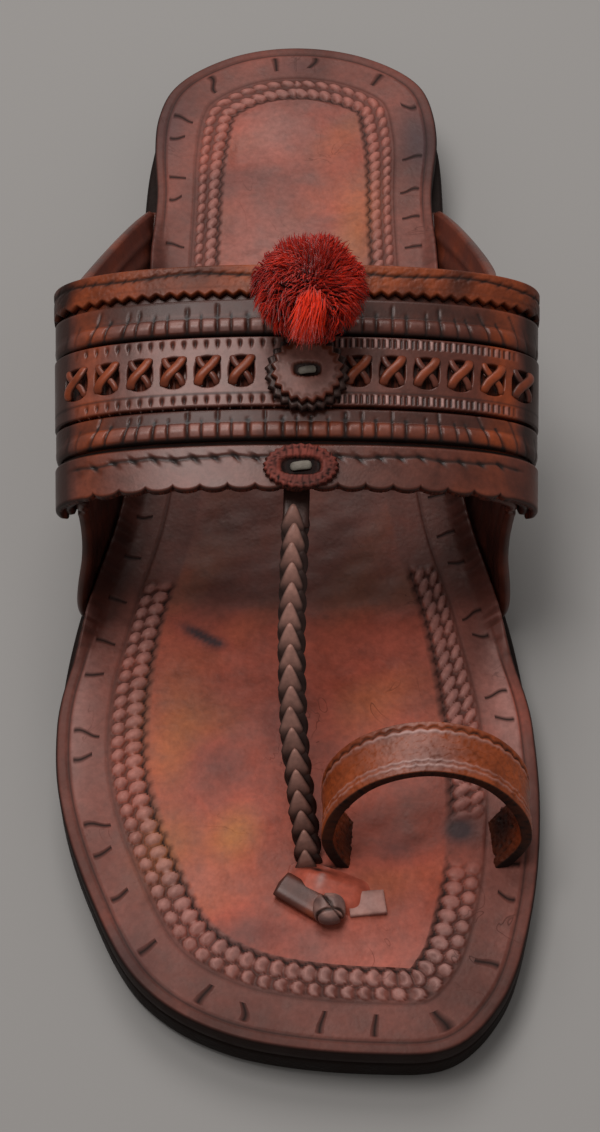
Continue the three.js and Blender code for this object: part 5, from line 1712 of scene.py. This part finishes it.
def braid_curve():
    """The braid's middle line from under the band down to its slit."""
    lift = -(BAND_THICKNESS + CLEARANCE + BRAID_THICKNESS / 2)
    slit = np.array([SOLE_SHIFT + SLIT_SHIFT, SLIT_PLACE * SOLE_LENGTH, 0.0])
    slit[2] = insole_top(slit[1])
    low = np.array([slit[0], slit[1] - BRAID_LEAD, outsole_top(slit[1]) + 2 * CLEARANCE])
    start = band_point(0.0, SCALLOP_DEPTH, lift)
    tab = band_point(0.0, SCALLOP_DEPTH + BRAID_TUCK, lift)
    along, drop, bow = np.array(BRAID_ROUTE).T
    x = blend(start[0], slit[0], along) - bow * BRAID_BOW
    y = blend(start[1], slit[1], along)
    z = blend(start[2], slit[2], drop)
    return spline(np.vstack([tab, np.column_stack([x, y, z]), low]), False, 60)


def upright(tangent):
    """Unit vectors to the inner side across a path, and off its upper side."""
    wide = unit(np.array([1.0, 0, 0]) - tangent * tangent[:, :1])
    normal = np.cross(tangent, wide)
    return wide, normal * np.where(normal[:, 2:3] < 0, -1, 1)


def build_braid():
    """The plait: a flat tab, three dark laces wound round each other and, on top, the
    leaves that the laces' crossings show, each with its tip over the one behind. Each leaf
    is painted light at its tip as a highlight and dark below as shade."""
    sizes, _ = chosen()
    curve = braid_curve()
    total = lengths(curve)[-1]
    tab_end = BRAID_TUCK + 5.5
    flat, _ = walk(curve, np.linspace(0, tab_end + 3, 24))
    across = np.broadcast_to([1.0, 0, 0], flat.shape)
    pieces = [strap(flat, across, BRAID_WIDTH + 0.2, 1.5, tone=-0.1)]
    places = np.arange(tab_end - 0.5, total, 0.42)
    path, tangent = walk(curve, places)
    wide, normal = upright(tangent)
    period = sizes["plait_period"]
    lace = sizes["lace_width"]
    swing = (BRAID_WIDTH + 0.6 - lace) / 2
    for strand in range(3):
        phase = 2 * math.pi * (places / period + strand / 3)
        line = path + swing * np.sin(phase)[:, None] * wide
        line = line + (0.45 * np.sin(2 * phase + 0.5) - 0.35)[:, None] * normal
        # The laces are painted darker as shade under the leaves
        pieces.append(
            strap(line, wide, lace, 1.1, sides=16, corner=0.7, tone=-0.5, ink=0.35, taper=0.01)
        )

    pitch = period / 3
    section = np.linspace(0, 2 * math.pi, 20, endpoint=False)
    run = np.linspace(0, 1, 17)
    rng = np.random.default_rng(3)
    for start in np.arange(tab_end - 2.5, total - 3, pitch):
        path, tangent = walk(curve, start + LEAF_LENGTH * pitch * run)
        wide, normal = upright(tangent)
        grow = run**0.75 * (1 - 0.55 * ease(run, 0.6, 1.0))
        broad = 1.35 * (BRAID_WIDTH - 0.4) * grow + 0.3
        rise = 1.5 - 1.5 * ease(run, 0.0, 0.9) + 0.3 * np.sin(math.pi * run)
        line = path + rise[:, None] * normal + (rng.uniform(-0.35, 0.15) - 0.3) * wide
        # Painted highlight at each leaf's raised tip, fading down the leaf
        tone = 1.5 - 1.4 * run[:, None] * np.ones(20) + rng.uniform(-0.25, 0.1)
        # Painted shade along the leaf's sides and over its lower part, under the next tip
        rim = 0.75 * ease(np.abs(np.cos(section)), 0.7, 0.96)[None] * np.ones((17, 1))
        rim = np.maximum(rim, 0.75 * ease(run, 0.5, 0.8)[:, None])
        pieces.append(
            strap(line, wide, broad, 1.2, sides=20, corner=0.8, tone=tone, ink=rim, taper=0.03)
        )
    make_piece("plaited_braid", pieces, oiled_lace, ["braid"])


def loop_curve():
    """The toe loop's middle line, from one foot in the sole over the toe to the other."""
    across, rise, lean = np.array(LOOP_ROUTE).T
    x = LOOP_OUTER_X + across * LOOP_SPAN
    y = LOOP_Y + lean * LOOP_LEAN
    top = insole_top(LOOP_Y)
    z = top + rise * (LOOP_HEIGHT - LOOP_THICKNESS / 2)
    points = np.column_stack([x, y, z])
    low = outsole_top(LOOP_Y) + 2 * CLEARANCE
    first, last = points[0].copy(), points[-1].copy()
    first[2] = last[2] = low
    first[0] += LOOP_TOE_IN
    last[0] -= LOOP_TOE_IN
    return spline(np.vstack([first, points, last]), False, 60)


def build_loop():
    """The toe loop: an oblong section along its curve, with tooled lines that wave as the
    size of a sine. Its crackle and its embossed inner face are products of two ripples."""
    curve = loop_curve()
    total = lengths(curve)[-1]
    places = np.linspace(0, total, 300)
    path, tangent = walk(curve, places)
    across = np.array([0, -math.cos(LOOP_TURN), -math.sin(LOOP_TURN)])
    wide = unit(across - tangent * np.sum(across * tangent, -1, keepdims=True))
    normal = np.cross(wide, tangent)
    x, y = oblong(LOOP_WIDTH, LOOP_THICKNESS, 0.45, 46)
    outer = np.sign(np.sum(normal * (path - path.mean(0)), -1).mean())
    out = (outer * y > 0)[None]
    x, y, run = x[None], y[None], places[:, None]
    wave = 0.3 * np.abs(np.sin(math.pi * run / 2.6))
    front_line = (ridge(x, 3.9 + wave, 0.3) + ridge(x, 2.8 + wave, 0.26)) * out
    pale = ridge(x, -3.2 - wave, 0.35) * out
    scallop = ridge(x, -3.9 - 2.2 * wave, 0.3) * out
    crackle = ripple(run, 0.6 * x, 1.7, 52) * ripple(run, x, 2.4, 53)
    cut = ease(x, LOOP_WIDTH / 2 - 0.35, LOOP_WIDTH / 2 - 0.1)
    emboss = ripple(run, 1.3 * x, 1.9, 54) * ripple(run, x, 2.7, 55) * (1 - out)
    relief = 0.2 * (front_line + pale) - 0.3 * scallop + 0.25 * emboss - 0.03 * crackle * out
    relief = relief * (1 - cut)
    y = y + relief * np.sign(y)
    glow = ridge(run, 0.2 * total, 8) + ridge(run, 0.72 * total, 6)
    tone = 0.1 + 0.4 * ripple(run, x, 14, 51) + 0.7 * glow - 0.5 * (1 - out)
    foot = ease(run, 0.0, 0.14 * total) * (1 - ease(run, 0.86 * total, total))
    middle = ridge(run, 0.47 * total, 9)
    fine = np.exp(-((ripple(run, x, 3.1, 56) / 0.09) ** 2))
    ink = 0.8 * scallop + 0.86 * cut + (0.15 * np.clip(crackle, 0, 1) + 0.3 * fine) * out
    # Painted shadow at both feet, where they go into the sole
    ink = ink + 0.5 * np.clip(-emboss, 0, 1) + 0.45 * (1 - foot)
    # Paler over the loop's middle and its tooled lines there: a painted highlight
    ink = ink - blend(0.35, 0.8, middle) * (front_line + pale) - 0.35 * middle * out * (1 - cut)
    ink = np.clip(ink, -1, 1)
    points = path[:, None] + x[..., None] * wide[:, None] + y[..., None] * normal[:, None]
    body = grid(points, tone, ink, around=True, capped=True)
    make_piece("tooled_toe_loop", [body], tan_goatskin, ["toe_loop"])


def build_tails():
    """The keeper, a soft hump on the insole, with its flap, the tail that comes out from
    under it, and the tail's knot, a ball pressed in along two folds."""
    slit = np.array([SOLE_SHIFT + SLIT_SHIFT, SLIT_PLACE * SOLE_LENGTH])
    centre = slit + np.array([KEEPER_INWARD, -KEEPER_FORWARD])
    turn = TAIL_ANGLE / 2
    long_way = np.array([math.cos(turn), -math.sin(turn)])
    wide_way = np.array([math.sin(turn), math.cos(turn)])
    u = np.linspace(-1, 1, 70)[:, None]
    v = np.linspace(-1, 1, 44)[None]
    xy = centre + (u * KEEPER_LENGTH / 2)[..., None] * long_way
    xy = xy + (v * KEEPER_WIDTH / 2)[..., None] * wide_way
    hump = ease(1 - np.abs(v), 0.0, 0.75) * ease(1 - np.abs(u), 0.0, 0.5)
    hump = hump * (1 - 0.35 * ease(u, 0.0, 1.0))
    base = insole_top(xy[..., 1])
    top = np.concatenate([xy, (base - 0.25 + KEEPER_RISE * hump)[..., None]], -1)
    under = np.concatenate([xy, (base - 0.5)[..., None]], -1)
    # Painted light on the keeper: a pale streak and a brighter hump are painted highlights, and a
    # dark line at its slit is painted shade
    streak = ridge(u, -0.25, 0.08) * ridge(v, 0.3, 0.5)
    slit_line = ridge(v, 0.62, 0.12) * ridge(u, -0.35, 0.3)
    bright = 0.6 + 0.22 * ripple(xy[..., 0], xy[..., 1], 30, 8) + 0.6 * hump - 0.5 * streak
    keeper = sheet_between(top, under, bright, np.clip(slit_line, 0, 1) - 0.7 * streak)
    make_piece("keeper", [keeper], burnished_hide)

    flap_way = np.array([[math.cos(0.12), math.sin(0.12)], [-math.sin(0.12), math.cos(0.12)]])
    place = np.array([14.6, slit[1] - 9.6])
    u, v = np.linspace(-1, 1, 16)[:, None], np.linspace(-1, 1, 12)[None]
    xy = place + (3.8 * u)[..., None] * flap_way[0] + (2.6 * v)[..., None] * flap_way[1]
    level = insole_top(xy[..., 1])
    top = np.concatenate([xy, (level + 1.15 + 0.1 * ripple(u, v, 1.5, 61))[..., None]], -1)
    under = np.concatenate([xy, (level - 0.3)[..., None]], -1)
    flap = sheet_between(top, under, 0.6, -0.35 + 0.2 * ripple(u, v, 1.2, 62))
    make_piece("keeper_flap", [flap], flesh_side)

    middle = np.array([SOLE_SHIFT + 0.8, slit[1] - TAIL_FORWARD])
    way = np.array([math.cos(TAIL_ANGLE), -math.sin(TAIL_ANGLE)])
    run = np.linspace(-0.5, 0.5, 24)[:, None]
    xy = middle + run * TAIL_LENGTH * way
    z = insole_top(xy[:, 1:]) + CLEARANCE + TAIL_THICKNESS / 2
    path = np.concatenate([xy, z], 1)
    side = np.array([math.sin(TAIL_ANGLE), math.cos(TAIL_ANGLE), 0.0])
    across = np.broadcast_to(side, path.shape)
    tone = -0.35 + 0.5 * ripple(8 * run, 0, 5, 72)
    tail = strap(path, across, TAIL_WIDTH, TAIL_THICKNESS, corner=0.7, tone=tone, taper=0.06)
    make_piece("tucked_tail", [tail], waxed_upper, ["tail_strap"])

    middle = node_box("tail_knot")[2]
    way = ball(34, 64)
    folds = 0
    for *normal, offset in KNOT_FOLDS:
        folds = np.maximum(folds, ridge(way @ np.array(normal), offset, 0.07))
    size = (1 - 0.16 * folds)[..., None]
    flat = np.abs(way) ** 0.8 * np.sign(way)
    lump = middle + flat * size * np.array([KNOT_DIAMETER, KNOT_DIAMETER, KNOT_HEIGHT]) * 0.47
    # Darker in its folds: painted shade
    tone = 0.1 - 0.4 * folds + 0.4 * ripple(4 * way[..., 0], 4 * way[..., 1], 3, 71)
    knot = grid(lump, tone, 0.6 * folds - 0.25 * (1 - folds), around=True)
    make_piece("folded_knot", [knot], oiled_lace, ["tail_knot"])


# Stage


def build_stage():
    """A plain floor, a dim even room, two soft lamps and the camera at the photo's angle."""
    scene = bpy.context.scene
    mesh = bpy.data.meshes.new("floor")
    ways = ((-1, -1), (1, -1), (1, 1), (-1, 1))
    corners = [(FLOOR_REACH * x, FLOOR_REACH * y, 0) for x, y in ways]
    mesh.from_pydata(corners, [], [(0, 1, 2, 3)])
    floor = bpy.data.objects.new("floor", mesh)
    scene.collection.objects.link(floor)
    mesh.materials.append(finish_of(floor_paint))

    world = bpy.data.worlds.new("soft_room")
    scene.world = world
    world.use_nodes = True
    room = world.node_tree.nodes["Background"].inputs
    room["Color"].default_value = (1.0, 0.99, 0.98, 1.0)
    room["Strength"].default_value = ROOM_LIGHT
    lamps = (
        ("softbox_over", (-0.34, 0.12, 1.35), 0.55, 8.0),
        ("softbox_behind", (-0.1, 0.95, 1.3), 0.75, 9.4),
    )
    for name, place, size, power in lamps:
        light = bpy.data.lights.new(name, "AREA")
        light.energy, light.size = power, size
        lamp = bpy.data.objects.new(name, light)
        lamp.location = place
        aim = Vector((0, 0, 0.03)) - Vector(place)
        lamp.rotation_euler = aim.to_track_quat("-Z", "Y").to_euler()
        scene.collection.objects.link(lamp)

    camera = bpy.data.cameras.new("camera")
    camera.lens = CAMERA_LENS
    camera.sensor_width = 36
    viewer = bpy.data.objects.new("camera", camera)
    target = Vector(CAMERA_TARGET) * MM
    away = Vector((0, -math.cos(CAMERA_ELEVATION), math.sin(CAMERA_ELEVATION)))
    away = away * CAMERA_DISTANCE
    viewer.location = target + away
    viewer.rotation_euler = (-away).to_track_quat("-Z", "Y").to_euler()
    scene.collection.objects.link(viewer)
    scene.camera = viewer
    scene.view_settings.view_transform = "Standard"


# Add-on


class SANDAL_OT_soles(bpy.types.Operator):
    """Add the outsole and the heel's two lifts."""

    bl_idname = "sandal.soles"
    bl_label = "Outsole and heel"

    def execute(self, context):
        build_soles()
        return {"FINISHED"}


class SANDAL_OT_insole(bpy.types.Operator):
    """Add the insole with its stamped border."""

    bl_idname = "sandal.insole"
    bl_label = "Insole"

    def execute(self, context):
        build_insole()
        return {"FINISHED"}


class SANDAL_OT_ears(bpy.types.Operator):
    """Add the two ears that join the band to the sole."""

    bl_idname = "sandal.ears"
    bl_label = "Ears"

    def execute(self, context):
        build_ears()
        return {"FINISHED"}


class SANDAL_OT_band(bpy.types.Operator):
    """Add the instep band's wall and scalloped front facing."""

    bl_idname = "sandal.band"
    bl_label = "Instep band"

    def execute(self, context):
        build_band()
        return {"FINISHED"}


class SANDAL_OT_cords(bpy.types.Operator):
    """Add the two rolled cords."""

    bl_idname = "sandal.cords"
    bl_label = "Rolled cords"

    def execute(self, context):
        build_cords()
        return {"FINISHED"}


class SANDAL_OT_weave(bpy.types.Operator):
    """Add the panel with its windows and crossed straps."""

    bl_idname = "sandal.weave"
    bl_label = "Woven panel"

    def execute(self, context):
        build_weave()
        return {"FINISHED"}


class SANDAL_OT_binding(bpy.types.Operator):
    """Add the binding folded over the band's rear edge."""

    bl_idname = "sandal.binding"
    bl_label = "Rear binding"

    def execute(self, context):
        build_binding()
        return {"FINISHED"}


class SANDAL_OT_rosettes(bpy.types.Operator):
    """Add the rosette, the medallion and their ties."""

    bl_idname = "sandal.rosettes"
    bl_label = "Rosette and medallion"

    def execute(self, context):
        build_rosettes()
        return {"FINISHED"}


class SANDAL_OT_pompom(bpy.types.Operator):
    """Add the pompom of cut thread."""

    bl_idname = "sandal.pompom"
    bl_label = "Pompom"

    def execute(self, context):
        build_pompom()
        return {"FINISHED"}


class SANDAL_OT_braid(bpy.types.Operator):
    """Add the plaited strap from the band to the toe."""

    bl_idname = "sandal.braid"
    bl_label = "Braid"

    def execute(self, context):
        build_braid()
        return {"FINISHED"}


class SANDAL_OT_loop(bpy.types.Operator):
    """Add the toe loop."""

    bl_idname = "sandal.toe_loop"
    bl_label = "Toe loop"

    def execute(self, context):
        build_loop()
        return {"FINISHED"}


class SANDAL_OT_tails(bpy.types.Operator):
    """Add the keeper and the tucked tail with its knot."""

    bl_idname = "sandal.tails"
    bl_label = "Keeper and tail"

    def execute(self, context):
        build_tails()
        return {"FINISHED"}


class SANDAL_OT_stage(bpy.types.Operator):
    """Add the floor, the lights and the camera."""

    bl_idname = "sandal.stage"
    bl_label = "Floor, lights and camera"

    def execute(self, context):
        build_stage()
        return {"FINISHED"}


OPERATORS = (
    SANDAL_OT_soles,
    SANDAL_OT_insole,
    SANDAL_OT_ears,
    SANDAL_OT_band,
    SANDAL_OT_cords,
    SANDAL_OT_weave,
    SANDAL_OT_binding,
    SANDAL_OT_rosettes,
    SANDAL_OT_pompom,
    SANDAL_OT_braid,
    SANDAL_OT_loop,
    SANDAL_OT_tails,
    SANDAL_OT_stage,
)


class SANDAL_PT_pieces(bpy.types.Panel):
    """Buttons for the sandal's pieces, its sizes and its colours."""

    bl_label = "Sandal"
    bl_idname = "SANDAL_PT_pieces"
    bl_space_type = "VIEW_3D"
    bl_region_type = "UI"
    bl_category = "Sandal"

    def draw(self, context):
        for operator in OPERATORS:
            self.layout.operator(operator.bl_idname)
        for group in (context.scene.sandal_sizes, context.scene.sandal_colours):
            for name in type(group).__annotations__:
                self.layout.prop(group, name)


CLASSES = (SandalSizes, SandalColours, *OPERATORS, SANDAL_PT_pieces)


def register():
    for item in CLASSES:
        bpy.utils.register_class(item)
    bpy.types.Scene.sandal_sizes = PointerProperty(type=SandalSizes)
    bpy.types.Scene.sandal_colours = PointerProperty(type=SandalColours)


def unregister():
    del bpy.types.Scene.sandal_colours
    del bpy.types.Scene.sandal_sizes
    for item in reversed(CLASSES):
        bpy.utils.unregister_class(item)


def main():
    """Adds all pieces by their operators."""
    register()
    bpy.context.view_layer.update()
    for operator in OPERATORS:
        group, name = operator.bl_idname.split(".")
        getattr(getattr(bpy.ops, group), name)()


if __name__ == "__main__":
    main()
